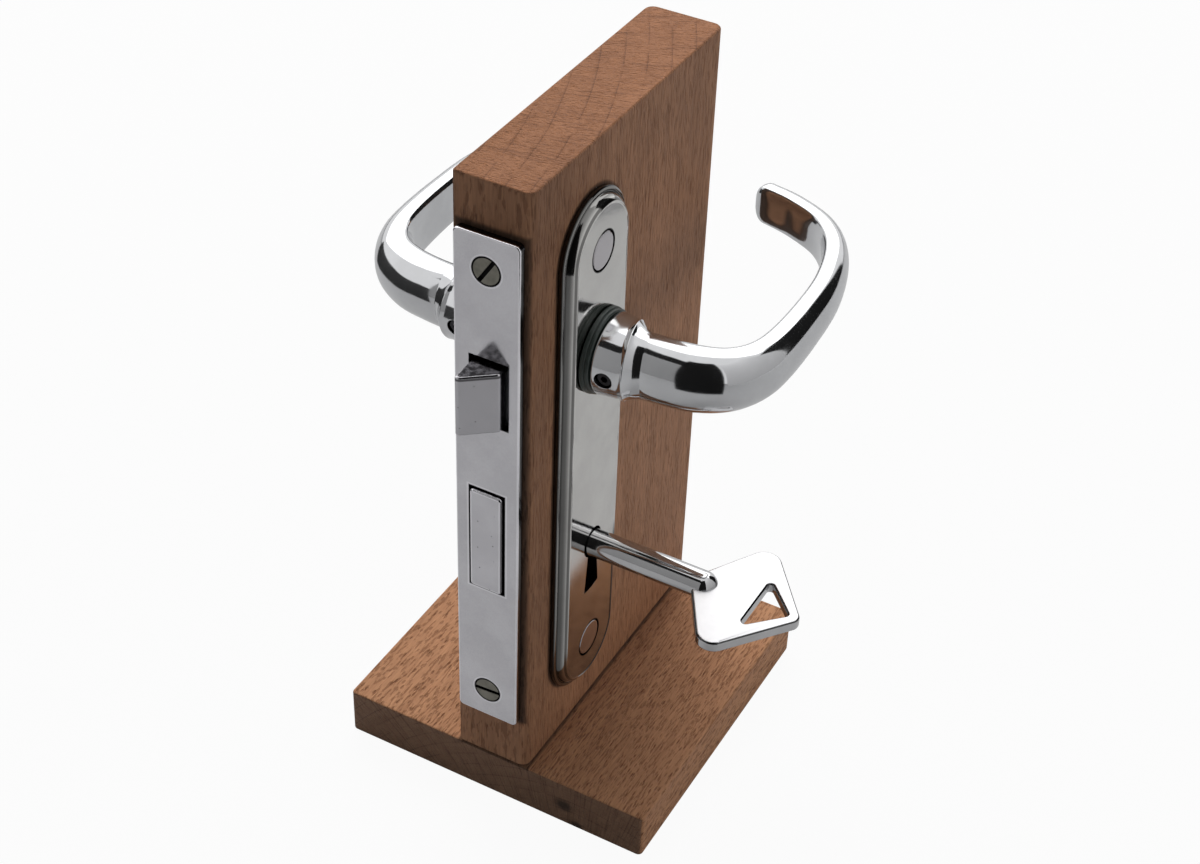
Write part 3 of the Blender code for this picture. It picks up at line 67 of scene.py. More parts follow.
# %% Axes and faces read from the measured model
block_low, block_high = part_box("door_block")
foot_low, foot_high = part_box("display_foot")
forend_low, forend_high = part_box("forend")
plate_low, plate_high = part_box("plate_right")
bush_low, bush_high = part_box("bush_right")
AXIS_Y = (plate_low.y + plate_high.y) / 2
SPINDLE_Z = (bush_low.z + bush_high.z) / 2
SPINDLE_TO_KEY = 0.070
KEY_Z = SPINDLE_Z - SPINDLE_TO_KEY
FRONT_Y = block_low.y
PLATE_HALF = (plate_high.y - plate_low.y) / 2
PLATE_BACK = plate_low.x
SCREW_HEIGHTS = tuple(sum(corner.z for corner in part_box("plate_sleeve_" + name)) / 2
                      for name in ("upper", "lower"))
LATCH_OPENING = ((-0.0055, 0.1475), (0.0069, 0.1695))
DEADBOLT_OPENING = ((-0.0057, 0.0877), (0.0057, 0.1243))
DEADBOLT_HEAD = ((-0.0052, KEY_Z - 0.0003), (0.0052, KEY_Z + 0.0353))
LATCH_HALF_HEIGHT = 0.0097
LATCH_FLOOR, LATCH_ROOF = SPINDLE_Z - LATCH_HALF_HEIGHT, SPINDLE_Z + LATCH_HALF_HEIGHT
FOREND_FACE = ((forend_low.x, forend_low.z), (forend_high.x, forend_high.z))
SLEEVE_RADIUS = 0.0056
STEM_RADIUS, STEM_END = 0.00425, 0.0570
BOW_START, BOW_HALF, BOW_DROP = 0.0500, 0.0018, 0.0007
screw_low, screw_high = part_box("forend_screw_upper")
FOREND_SCREW_OFFSET = (screw_low.z + screw_high.z - forend_low.z - forend_high.z) / 2
print("spindle axis: y %.4f, z %.4f; key axis z %.4f" % (AXIS_Y, SPINDLE_Z, KEY_Z))

# %% [markdown]
# ## The camera
# The picture looks down on the block from its front right corner. The lens was worked out by
# matching the block's edges, the plate and the forend, so the render lines up with it.

# %% Camera
CAMERA_PLACE = (0.2334, -0.4360, 0.4984)
HEADING, TILT, ROLL = 0.488, 0.897, 0.036
camera_data = bpy.data.cameras.new("view")
camera_data.sensor_width = 36.0
camera_data.lens = 63.34
camera_data.shift_x = 0.00825
camera_data.shift_y = 0.0083
camera = bpy.data.objects.new("view", camera_data)
bpy.context.scene.collection.objects.link(camera)
camera.matrix_world = (
    Matrix.Translation(CAMERA_PLACE)
    @ Matrix.Rotation(HEADING, 4, "Z")
    @ Matrix.Rotation(TILT, 4, "X")
    @ Matrix.Rotation(ROLL, 4, "Z")
)
bpy.context.scene.camera = camera
bpy.context.scene.view_settings.view_transform = "Standard"
print("camera looks along", [round(v, 2) for v in camera.matrix_world.to_3x3() @ Vector((0, 0, -1))])

# %% [markdown]
# ## Writing materials as sums
# A material is a graph of nodes, but a formula is easier to read. The class below wraps one
# socket, and each operator adds the Math node that does it. The helper `add_node` adds any other
# node to a tree, of a material or of Geometry Nodes, and links or fills its sockets.

# %% Values and nodes
class Value:
    """One output socket, or a plain number, in a material's node tree."""

    def __init__(self, tree, socket):
        self.tree = tree
        self.socket = socket

    def math(self, operation, *others):
        made = self.tree.nodes.new("ShaderNodeMath")
        made.operation = operation
        for slot, value in zip(made.inputs, (self, *others)):
            connect(self.tree, slot, value)
        return Value(self.tree, made.outputs[0])

    def __add__(self, other):
        return self.math("ADD", other)

    def __sub__(self, other):
        return self.math("SUBTRACT", other)

    def __rsub__(self, other):
        return Value(self.tree, other).math("SUBTRACT", self)

    def __mul__(self, other):
        return self.math("MULTIPLY", other)

    def __pow__(self, other):
        return self.math("POWER", other)

    __radd__ = __add__
    __rmul__ = __mul__

    def clamp(self):
        return self.math("MAXIMUM", 0.0).math("MINIMUM", 1.0)

    def size(self):
        return self.math("ABSOLUTE")

    def most(self, other):
        return self.math("MAXIMUM", other)

    def band(self, low, high, soft):
        """1 between low and high, and 0 outside them."""
        return self.step(low - soft, low) * self.step(high + soft, high)

    def step(self, low, high):
        """0 below low, 1 above high, and smooth between them."""
        made = self.tree.nodes.new("ShaderNodeMapRange")
        made.interpolation_type = "SMOOTHSTEP"
        connect(self.tree, made.inputs["Value"], self)
        made.inputs["From Min"].default_value = low
        made.inputs["From Max"].default_value = high
        return Value(self.tree, made.outputs["Result"])


def connect(tree, socket, value):
    """Links a Value or an output socket to an input, or sets the input to a plain number."""
    if isinstance(value, Value):
        value = value.socket
    if isinstance(value, bpy.types.NodeSocket):
        tree.links.new(value, socket)
    else:
        socket.default_value = value


def add_node(tree, kind, settings=None, inputs=None):
    """Adds a node to a tree, then its settings, and then links or fills its inputs."""
    made = tree.nodes.new(kind)
    for key, value in (settings or {}).items():
        setattr(made, key, value)
    for key, value in (inputs or {}).items():
        connect(tree, made.inputs[key], value)
    return made


print("values can be", ", ".join(name for name in vars(Value) if not name.startswith("_")))

# %% [markdown]
# ## A finish while it is written
# Every finish starts from the Principled shader and from Object coordinates, so its pattern is
# fixed to the piece like the grain of a solid, and needs no flat map. The class below keeps the
# tree, the shader and the coordinates together, with the few patterns that all finishes share.

# %% Finish helpers
class Finish:
    """A material that is being written: its tree, its shader and its ready-made coordinates."""

    def __init__(self, name, **constants):
        self.material = bpy.data.materials.new(name)
        self.material.use_nodes = True
        self.tree = self.material.node_tree
        self.shader = self.tree.nodes["Principled BSDF"]
        self.place = self.node("ShaderNodeTexCoord").outputs["Object"]
        self.set(**constants)

    def node(self, kind, settings=None, **sockets):
        """Adds a node. Its sockets' names have _ for a space."""
        inputs = {key.replace("_", " "): value for key, value in sockets.items()}
        return add_node(self.tree, kind, settings, inputs)

    def set(self, **sockets):
        for key, value in sockets.items():
            connect(self.tree, self.shader.inputs[key.replace("_", " ")], value)

    def stretched(self, scale):
        """Object coordinates scaled by a different number along each axis."""
        made = add_node(self.tree, "ShaderNodeVectorMath", {"operation": "MULTIPLY"},
                        {0: self.place, 1: scale})
        return made.outputs["Vector"]

    def noise(self, scale, detail=3.0, roughness=0.5, source=None):
        made = self.node("ShaderNodeTexNoise", Vector=source or self.place, Scale=scale,
                         Detail=detail, Roughness=roughness)
        return Value(self.tree, made.outputs["Fac"])

    def cells(self, scale, source=None):
        """How far a point is from the middle of the nearest of many scattered cells."""
        made = self.node("ShaderNodeTexVoronoi", Vector=source or self.place, Scale=scale)
        return Value(self.tree, made.outputs["Distance"])

    def mix(self, factor, first, second, blend="MIX"):
        """A colour between two colours. Either may be a colour value or a socket."""
        first, second = ((*value, 1.0) if isinstance(value, tuple) else value
                         for value in (first, second))
        made = add_node(self.tree, "ShaderNodeMix", {"data_type": "RGBA", "blend_type": blend},
                        {0: factor, 6: first, 7: second})
        return made.outputs[2]

    def bump(self, height, strength, distance):
        made = self.node("ShaderNodeBump", Height=height, Strength=strength, Distance=distance)
        return made.outputs["Normal"]

    def axis(self, name, source=None):
        split = self.node("ShaderNodeSeparateXYZ", Vector=source or self.place)
        return Value(self.tree, split.outputs[name])

    def upward(self):
        """How far the surface faces up, from -1 to 1."""
        return self.axis("Z", self.node("ShaderNodeNewGeometry").outputs["Normal"])


def srgb(red, green, blue):
    """A colour as a paint chart gives it, 0 to 255, turned into the linear values of a shader."""
    return tuple(round(((v / 255 + 0.055) / 1.055) ** 2.4, 4) for v in (red, green, blue))


print("a finish offers", ", ".join(name for name in vars(Finish) if not name.startswith("_")))

# %% [markdown]
# ## Making a finished piece
# Each remade piece is one mesh in world coordinates, on an object that stays at the origin. Its
# modifiers are turned into plain mesh, its hard edges are marked, and it then rides on the body
# that carries it and stands for the node of the measured model that it refines.

# %% Objects and modifiers
def object_from(name, bm):
    bmesh.ops.recalc_face_normals(bm, faces=bm.faces)
    mesh = bpy.data.meshes.new(name)
    bm.to_mesh(mesh)
    bm.free()
    made = bpy.data.objects.new(name, mesh)
    bpy.context.scene.collection.objects.link(made)
    return made


def modify(made, kind, **settings):
    modifier = made.modifiers.new(kind.lower(), kind)
    for key, value in settings.items():
        setattr(modifier, key, value)
    return modifier


def soften(made, width, segments=3, angle=30.0):
    """Rounds the edges that turn by more than angle."""
    modify(made, "BEVEL", width=width, segments=segments, limit_method="ANGLE",
           angle_limit=math.radians(angle), use_clamp_overlap=True)


def settle(made):
    """Turns an object's modifiers into plain mesh."""
    bpy.context.view_layer.update()
    depsgraph = bpy.context.evaluated_depsgraph_get()
    mesh = bpy.data.meshes.new_from_object(made.evaluated_get(depsgraph))
    made.modifiers.clear()
    old = made.data
    made.data = mesh
    bpy.data.meshes.remove(old)


def combine(made, tool, operation):
    """Cuts or joins another object, which is then thrown away."""
    modify(made, "BOOLEAN", operation=operation, solver="EXACT", object=tool)
    settle(made)
    bpy.data.objects.remove(tool, do_unlink=True)


def cut(made, bm):
    combine(made, object_from("cutter", bm), "DIFFERENCE")


def join(made, bm):
    combine(made, object_from("addition", bm), "UNION")


def mirror(made, side, place=Matrix()):
    """Moves a mesh by a matrix, after turning it into its mirror image where side is -1."""
    made.data.transform(place @ Matrix.Diagonal((side, 1.0, 1.0, 1.0)))
    if side < 0:
        made.data.flip_normals()


def finish_piece(made, body, nodes, material, angle=30.0, weighted=True):
    """Marks hard edges, gives the finish, and puts the piece on its body."""
    made.data.shade_smooth()
    made.data.set_sharp_from_angle(angle=math.radians(angle))
    if weighted:
        modify(made, "WEIGHTED_NORMAL", keep_sharp=True, weight=100)
        settle(made)
    made.data.materials.clear()
    made.data.materials.append(material)
    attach(made, body)
    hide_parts(*nodes)
    made.data.calc_loop_triangles()
    print("%s: %d triangles" % (made.name, len(made.data.loop_triangles)))


print("nodes that a finished piece can stand for:", len(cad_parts))

# %% [markdown]
# ## Shapes drawn as rings
# Nearly every piece here is a stack of rings: an outline pulled straight, or a profile turned as
# on a lathe. So one function joins rings, and the others only say where a ring's points go. They
# draw corners as arcs, because a lock has hardly a sharp corner that a hand can reach.

# %% Outlines and rings
def arc(centre, radius, start, end, steps):
    """Points on an arc between two angles in degrees, both ends included."""
    points = []
    for i in range(steps + 1):
        angle = math.radians(start + (end - start) * i / steps)
        points.append((centre[0] + radius * math.cos(angle), centre[1] + radius * math.sin(angle)))
    return points


def skin(rings, closed_ends=True):
    """Rings with as many points each, joined one to the next."""
    bm = bmesh.new()
    rows = [[bm.verts.new(point) for point in ring] for ring in rings]
    for row, following in zip(rows, rows[1:]):
        for i in range(len(row)):
            j = (i + 1) % len(row)
            bm.faces.new((row[i], row[j], following[j], following[i]))
    if closed_ends:
        bm.faces.new(rows[0][::-1])
        bm.faces.new(rows[-1])
    return bm


def turned(profile, place, segments=96, closed=False):
    """A profile of (radius, height) points turned about the place's Z axis."""
    rings = []
    for radius, height in profile:
        ring = []
        for i in range(segments):
            angle = 2 * math.pi * i / segments
            ring.append(place @ Vector((radius * math.cos(angle), radius * math.sin(angle), height)))
        rings.append(ring)
    if closed:
        rings.append(rings[0])
    bm = skin(rings, closed_ends=not closed)
    bmesh.ops.remove_doubles(bm, verts=bm.verts, dist=1e-7)
    return bm


def rod(radius, start, end, place, segments=64):
    return turned([(0.0, start), (radius, start), (radius, end), (0.0, end)], place, segments)


def block_of(low, high):
    bm = bmesh.new()
    low = Vector(low)
    size = Vector(high) - low
    bmesh.ops.create_cube(bm, size=1.0, matrix=Matrix.Translation(low + size / 2)
                          @ Matrix.Diagonal((*size, 1.0)))
    return bm


def slab(outline, start, end, place):
    """An outline of (u, v) points pulled from start to end along the place's Z axis."""
    rings = [[place @ Vector((u, v, height)) for u, v in outline] for height in (start, end)]
    return skin(rings)


def rounded_box(low, high, radii, steps=6):
    """The outline of a rectangle with a radius for each corner: (+,+), (-,+), (-,-), (+,-)."""
    points = []
    corners = ((high[0], high[1]), (low[0], high[1]), (low[0], low[1]), (high[0], low[1]))
    signs = ((1, 1), (-1, 1), (-1, -1), (1, -1))
    for quarter, (corner, sign) in enumerate(zip(corners, signs)):
        radius = radii[quarter]
        centre = (corner[0] - sign[0] * radius, corner[1] - sign[1] * radius)
        points += arc(centre, radius, 90 * quarter, 90 * quarter + 90, steps)
    return points


def rounded_corners(corners, radii, steps=8):
    """A closed outline whose corners become arcs of the given radii."""
    points = []
    count = len(corners)
    for i, corner in enumerate(corners):
        here = Vector(corner)
        back = (Vector(corners[i - 1]) - here).normalized()
        on = (Vector(corners[(i + 1) % count]) - here).normalized()
        half = back.angle(on) / 2
        middle = here + (back + on).normalized() * (radii[i] / math.sin(half))
        first = here + back * (radii[i] / math.tan(half)) - middle
        last = here + on * (radii[i] / math.tan(half)) - middle
        turn = last.angle_signed(first)
        for step in range(steps + 1):
            points.append(tuple(middle + Matrix.Rotation(turn * step / steps, 2) @ first))
    return points


coin = rod(0.01, 0.0, 0.002, Matrix(), 12)
print("a coin with 12 corners has", len(coin.faces), "faces")
coin.free()

# %% [markdown]
# ## Which way a shape faces
# Each shape is drawn flat and then placed by a matrix. The first five turn the axis of a rod or a
# screw. The two views say what the outline's u and v stand for: y and z when it is pulled along
# X, and x and z when it is pulled along -Y, so a drawing reads as the lock does from there.

# %% Directions
ALONG_X = Matrix.Rotation(math.pi / 2, 4, "Y")
ALONG_MINUS_X = Matrix.Rotation(-math.pi / 2, 4, "Y")
ALONG_Y = Matrix.Rotation(-math.pi / 2, 4, "X")
ALONG_MINUS_Y = Matrix.Rotation(math.pi / 2, 4, "X")
UPSIDE_DOWN = Matrix.Rotation(math.pi, 4, "X")
SIDE_VIEW = Matrix(((0, 0, 1, 0), (1, 0, 0, 0), (0, 1, 0, 0), (0, 0, 0, 1)))
FRONT_VIEW = Matrix(((1, 0, 0, 0), (0, 0, -1, 0), (0, 1, 0, 0), (0, 0, 0, 1)))


def at(x=0.0, y=0.0, z=0.0):
    return Matrix.Translation((x, y, z))


spindle_place = at(y=AXIS_Y, z=SPINDLE_Z)
key_place = at(y=AXIS_Y, z=KEY_Z)
print("the key lies %.1f mm under the spindle" % ((SPINDLE_Z - KEY_Z) * 1000))

# %% [markdown]
# ## Where a finish sits on a piece
# Painted shade is put beside metal and in the grooves, and painted highlights on edges. Each of these
# follows a shape, so these helpers measure how far a point is from a plate's outline, a screw or a
# rectangle on the forend, out of the same Object coordinates as everything else. Every distance is in
# metres, so a band between 0.0011 and 0.0016 is half a millimetre wide.

# %% Distances on the pieces
def plate_inset(finish):
    """How far in from the long plate's outline a point is. It is below 0 outside the plate."""
    y = finish.axis("Y") - AXIS_Y
    z = finish.axis("Z")
    over = (z - SCREW_HEIGHTS[0]).most(0.0) + (SCREW_HEIGHTS[1] - z).most(0.0)
    return PLATE_HALF - (y * y + over * over).math("SQRT")


def screw_distance(finish):
    """How far a point is from the axis of the nearer of the plate's two screws."""
    middle_z = sum(SCREW_HEIGHTS) / 2
    y = finish.axis("Y") - AXIS_Y
    z = (finish.axis("Z") - middle_z).size() - (SCREW_HEIGHTS[0] - middle_z)
    return (y * y + z * z).math("SQRT")


def forend_screw_distance(finish):
    """How far a point is from the axis of the nearer of the forend's two screws."""
    x = finish.axis("X")
    z = (finish.axis("Z") - (forend_low.z + forend_high.z) / 2).size() - FOREND_SCREW_OFFSET
    return (x * x + z * z).math("SQRT")


def outside_rectangle(finish, low, high):
    """How far outside a rectangle of (x, z) a point is. It is below 0 inside it."""
    x = (finish.axis("X") - (low[0] + high[0]) / 2).size() - (high[0] - low[0]) / 2
    z = (finish.axis("Z") - (low[1] + high[1]) / 2).size() - (high[1] - low[1]) / 2
    return x.most(z)


print("plate outline: %.1f mm wide" % (PLATE_HALF * 2000))

# %% [markdown]
# ## Beech
# Beech is told by its short dark flecks. They are rays, sheets of cells that run from the heart
# to the bark, so they show as flecks on one face of a board and as fine lines on its end. The
# finish is therefore written as a solid: `across` counts distance out from the tree's heart,
# `around` follows a ring, and `along` follows the trunk. Every face then shows its own cut of
# the same wood. Only the strength of the marks changes at a sawn end.

# %% Beech recipe
# The dark brown that painted shade, knots and darker tone take the beech towards.
SHADE_AND_MARK_COLOUR = (0.008, 0.006, 0.005)


def beech(name, light, dark, turn, heart, ring_spacing, seed, end_tone, fleck, shade_and_marks):
    """turn brings the trunk to Z, and heart is the tree's middle there. fleck says how dark the rays
    and the dashes are and how often they start, and the last argument says where the wood is darkened:
    by painted shade, by knots on the foot and by a darker tone on the block."""
    wood = Finish(name, Metallic=0.0, Specular_IOR_Level=0.25)
    ray_depth, dash_depth, fleck_scale = fleck

    def turned_to_trunk(vector):
        return wood.node("ShaderNodeVectorRotate", {"rotation_type": "EULER_XYZ"},
                         Vector=vector, Rotation=turn).outputs["Vector"]

    trunk = turned_to_trunk(wood.place)
    x = wood.axis("X", trunk) - heart[0]
    y = wood.axis("Y", trunk) - heart[1]
    along = wood.axis("Z", trunk)
    across = (x * x + y * y).math("SQRT")
    around = y.math("ARCTAN2", x) * math.hypot(*heart)
    facing = turned_to_trunk(wood.node("ShaderNodeNewGeometry").outputs["Normal"])
    end = wood.axis("Z", facing).size().step(0.60, 0.85)

    def grain(across_scale, around_scale, along_scale, detail, shift):
        made = wood.node("ShaderNodeCombineXYZ", X=across * across_scale + seed,
                         Y=around * around_scale + shift, Z=along * along_scale)
        return wood.noise(1.0, detail, 0.55, made.outputs["Vector"])

    sway = grain(20.0, 14.0, 3.0, 2.0, 3.1)
    ring = ((across + (sway - 0.5) * 0.004) * (1.0 / ring_spacing) + 0.35).math("FRACT")
    late = (ring ** 18.0) * grain(150.0, 110.0, 20.0, 2.0, 5.7).step(0.30, 0.55)
    rays = grain(650.0, 2400.0, fleck_scale, 2.0, 9.2).step(0.54, 0.61)
    dash_place = wood.node("ShaderNodeCombineXYZ", X=across * 500.0 + seed, Y=around * 1500.0,
                           Z=along * fleck_scale * 1.4).outputs["Vector"]
    dashes = wood.cells(1.0, dash_place).step(0.40, 0.18)
    end_rays = grain(70.0, 1900.0, 60.0, 1.5, 4.8).step(0.50, 0.68)
    fibres = grain(2300.0, 2300.0, 130.0, 2.0, 7.7)
    bands = grain(260.0, 260.0, 9.0, 3.0, 2.2)
    clouds = grain(35.0, 35.0, 14.0, 2.0, 6.6)
    tone = (fibres * 1.15 + bands * 0.95 + clouds * 0.50 - 0.85 + ring * 0.10).clamp()
    colour = wood.mix(tone, dark, light)
    on_end = end * (late * 0.68 + end_rays * 0.42)
    on_side = (1.0 - end) * (rays * ray_depth + dashes * dash_depth + late * 0.08)
    deep = tuple(v * share for v, share in zip(dark, (0.44, 0.36, 0.31)))
    colour = wood.mix((on_end + on_side).clamp(), colour, deep)
    colour = wood.mix(end, colour, end_tone, "MULTIPLY")
    # Painted shade, knots on the foot and a darker tone on the block darken the wood here.
    shade_and_marks_share = shade_and_marks(wood)
    colour = wood.mix(shade_and_marks_share, colour, SHADE_AND_MARK_COLOUR)
    height = fibres * 0.5 - rays * 0.5 - dashes - late * 0.5
    wood.set(Base_Color=colour, Roughness=0.50 + fibres * 0.16 + rays * 0.10 + shade_and_marks_share * 0.15,
             Normal=wood.bump(height, strength=0.70, distance=0.00030))
    return wood.material


print("beech can be cut from any part of a trunk")

# %% [markdown]
# ## Painted shade on the beech
# The beech is painted darker as shade inside a sawn pocket and beside the plates, the forend and the
# foot. The block is also darker on its sides towards the front and towards its top, and the foot has
# two knots. Each darkening is a share between 0 and 1 that rises towards something. Where two of them
# meet, the stronger one wins.

# %% Painted shade, and the two boards
def block_shade_and_tone(wood):
    """Painted shade inside the sawn pockets and holes, painted shadows beside the forend and the plates
    and where the block stands on the foot, and a darker tone on the sides towards the front and towards
    the top."""
    from_side = block_high.x - wood.axis("X").size()
    from_front = wood.axis("Y") - FRONT_Y
    from_top = block_high.z - wood.axis("Z")
    # Painted shade inside the sawn pockets and holes.
    inside = from_side.math("MINIMUM", from_front).math("MINIMUM", from_top).step(0.0007, 0.0016)
    # Painted shadows beside the forend and the plates, and where the block stands on the foot.
    strip = outside_rectangle(wood, *FOREND_FACE)
    strip_shadow = strip.step(0.0024, 0.0003) * from_front.step(0.0020, 0.0010)
    plate_shadow = plate_inset(wood).step(-0.0016, -0.0002)
    foot_contact_shadow = (wood.axis("Z") - foot_high.z).step(0.0013, 0.0)
    # The wood is darker on the sides towards the front, and towards the top.
    front_and_top_darkening = from_side.step(0.0016, 0.0004) * from_front.step(0.034, 0.004) * 0.22
    front_and_top_darkening = front_and_top_darkening + from_top.step(0.060, 0.008) * 0.14
    shade_and_marks = (inside * 0.92).most(strip_shadow * 0.82).most(plate_shadow * 0.72).most(foot_contact_shadow * 0.62)
    return shade_and_marks.most(front_and_top_darkening)


KNOTS = ((0.0253, foot_high.z * 0.47, 0.0046), (0.0300, 0.0010, 0.0034))


def foot_shade_and_knots(wood):
    """Painted shade lies on the foot where the block stands, and two small knots show on the front end.
    """
    x, z = wood.axis("X"), wood.axis("Z")
    # Painted contact shadow on the foot's top beside the block.
    by_side = (x.size() - block_high.x).step(0.0013, 0.0001)
    by_front = (wood.axis("Y") - FRONT_Y).step(-0.0014, -0.0002)
    shade_and_marks = by_side * by_front * (foot_high.z - z).step(0.0008, 0.0002) * 0.65
    for knot_x, knot_z, radius in KNOTS:
        gap_x, gap_z = x - knot_x, (z - knot_z) * 1.3
        ragged = (wood.noise(900.0, 2.0) - 0.5) * 0.0016
        reach = (gap_x * gap_x + gap_z * gap_z).math("SQRT") + ragged
        shade_and_marks = shade_and_marks.most(reach.step(radius, radius * 0.20) * 0.80)
    return shade_and_marks


beech_block = beech(
    "beech_block", light=srgb(193, 142, 107), dark=srgb(144, 101, 72), turn=(0.0, 0.0, 0.0),
    heart=(-0.236, -0.083), ring_spacing=0.0066, seed=0.0, end_tone=(0.92, 0.81, 0.71),
    fleck=(0.42, 0.15, 150.0), shade_and_marks=block_shade_and_tone)
beech_foot = beech(
    "beech_foot", light=srgb(205, 152, 112), dark=srgb(160, 112, 79), turn=(math.pi / 2, 0.0, 0.0),
    heart=(0.030, 0.055), ring_spacing=0.0042, seed=11.3, end_tone=(0.55, 0.62, 0.74),
    fleck=(0.47, 0.40, 215.0), shade_and_marks=foot_shade_and_knots)
print("beech nodes: block %d, foot %d" % (len(beech_block.node_tree.nodes),
                                         len(beech_foot.node_tree.nodes)))

# %% [markdown]
# ## Metal finishes
# Chrome has hardly any colour of its own. What makes it real is a mirror that is not quite
# perfect: a faint haze from handling in the roughness, and a surface that is flat only to a few
# hundredths of a millimetre. The steel of the screws is turned, so its marks run in rings, and
# the pressed steel inside the case is grained from rolling. The bush is moulded nylon, which is
# worn paler in patches. Each recipe below can be used for several pieces, with its own numbers.

# %% Metal and plastic recipes
FLATNESS, FINE_GRAIN = 0.0006, 0.00005


def chrome(name, colour, gloss, haze, wave, painted_light_and_wear=None, satin=None):
    """An optional brightness map says how bright the metal is painted from place to place, 1 as
    polished, for shade, highlights and worn places, and satin how dull.
    """
    metal = Finish(name, Metallic=1.0)
    smear = metal.noise(70.0, 4.0, 0.6)
    fine = metal.noise(900.0, 3.0, 0.6)
    specks = metal.cells(420.0).step(0.10, 0.03)
    dull = tuple(v * 0.90 for v in colour)
    base = metal.mix(smear.step(0.35, 0.70), dull, colour)
    # Painted shade and highlights, with any worn places, multiply the base colour here.
    if painted_light_and_wear:
        shade = metal.node("ShaderNodeCombineXYZ")
        for axis in "XYZ":
            connect(metal.tree, shade.inputs[axis], painted_light_and_wear(metal))
        base = metal.mix(1.0, base, shade.outputs["Vector"], "MULTIPLY")
    rough = gloss + smear.step(0.40, 0.75) * haze + fine * haze * 0.4 + specks * 0.05
    if satin:
        rough = rough + satin(metal)
    metal.set(Base_Color=base, Roughness=rough,
              Normal=metal.bump(metal.noise(45.0, 2.0, 0.5) + fine * 0.02, wave, FLATNESS))
    return metal.material


def turned_steel(name, colour, mark_scale, painted_light_and_wear=None):
    """Steel with the fine marks of a lathe. An optional map says where it keeps its colour; elsewhere
    it is painted black as shade.
    """
    metal = Finish(name, Metallic=1.0)
    rub = metal.noise(2600.0, 2.0, 0.5)
    blotch = metal.noise(260.0, 3.0, 0.6)
    dark = tuple(v * 0.70 for v in colour)
    base = metal.mix(blotch.step(0.30, 0.72), dark, colour)
    # Painted shade: the steel goes black where the map is 0.
    if painted_light_and_wear:
        base = metal.mix(painted_light_and_wear(metal), (0.004, 0.004, 0.004), base)
    metal.set(Base_Color=base, Roughness=0.24 + rub * 0.18 + blotch * 0.08,
              Normal=metal.bump(rub + metal.noise(mark_scale, 2.0), 0.25, FINE_GRAIN))
    return metal.material


def rolled_steel(name, colour):
    metal = Finish(name, Metallic=1.0)
    rolled = metal.noise(1.0, 3.0, 0.6, metal.stretched((900.0, 3500.0, 160.0)))
    spangle = metal.cells(260.0)
    dark = tuple(v * 0.80 for v in colour)
    metal.set(Base_Color=metal.mix(spangle.step(0.1, 0.8), dark, colour),
              Roughness=0.32 + rolled * 0.16, Normal=metal.bump(rolled, 0.3, FINE_GRAIN))
    return metal.material


def moulded(name, colour, gloss):
    plastic = Finish(name, Metallic=0.0)
    grain = plastic.noise(1500.0, 2.0, 0.5)
    patch = plastic.noise(150.0, 2.0, 0.5)
    worn = tuple(min(v * 1.7 + 0.01, 1.0) for v in colour)
    plastic.set(Base_Color=plastic.mix(patch.step(0.45, 0.75), colour, worn),
                Roughness=gloss + grain * 0.14, Normal=plastic.bump(grain, 0.2, FINE_GRAIN))
    return plastic.material


print("recipes:", ", ".join(made.__name__ for made in (chrome, turned_steel, rolled_steel, moulded)))

# %% [markdown]
# ## Painted light on the plates and the forend
# Each function below says how bright the metal is painted from place to place, 1 as polished: lower in
# the grooves as painted shade, higher on the edges as painted highlights, and almost 0 in the thin gap
# round another piece as painted shade. A fine mottle runs through it.

# %% Painted shade and highlights on plates and forend
def plate_painted_light_and_mottle(metal):
    """Painted shade on the shoulder and in the grooves round a long plate, a painted highlight on its
    bead, and painted shade over its lower end, darkest on the side away from the forend. Painted shade
    also lies in the gaps round the sleeves and in the holes, with a fine mottle over all."""
    inset = plate_inset(metal)
    # Painted reflection: the shoulder goes from dark at its foot to bright by the bead, and the lip,
    # the hollow, the side wall and the bead's foot are painted dark as shade.
    shoulder = 0.27 + inset.step(0.0018, 0.0031) * 0.98
    lip = inset.step(0.0012, 0.0009)
    shade = shoulder * (1.0 - lip) + lip * 0.42
    hollow = inset.band(0.0011, 0.0016, 0.0002) * 0.55
    side_wall = inset.step(0.00030, 0.00012) * 0.80
    bead_foot = inset.band(0.0029, 0.0033, 0.0003) * 0.70
    shade = shade * (1.0 - hollow) * (1.0 - side_wall) * (1.0 - bead_foot)
    # Painted highlight on the bead round the flat face.
    face = inset.step(0.0034, 0.0037)
    shade = shade * (1.0 - face) + face * (1.12 - inset.step(0.0040, 0.0044) * 0.12)
    # Painted shade over the lower end, with the bead dulled on the side away from the forend.
    low = (metal.axis("Z") - KEY_Z).step(0.0, -0.010)
    low_right = low * (metal.axis("Y") - AXIS_Y).step(-0.006, 0.002)
    shade = shade * (1.0 - low_right * inset.step(0.0048, 0.0044) * 0.86)
    shade = shade * (1.0 - low * face * 0.34)
    shade = shade * (0.94 + metal.noise(2300.0, 2.0) * 0.12)
    # Painted shade in the gap round each sleeve and down in the holes and recesses.
    screw_ring = screw_distance(metal).band(SLEEVE_RADIUS - 0.0002, SLEEVE_RADIUS + 0.00058, 0.00012)
    below = (plate_high.x - 0.0001 - metal.axis("X").size()).step(0.0002, 0.0006) * face
    return shade * (1.0 - (screw_ring * 0.93).most(below * 0.55))


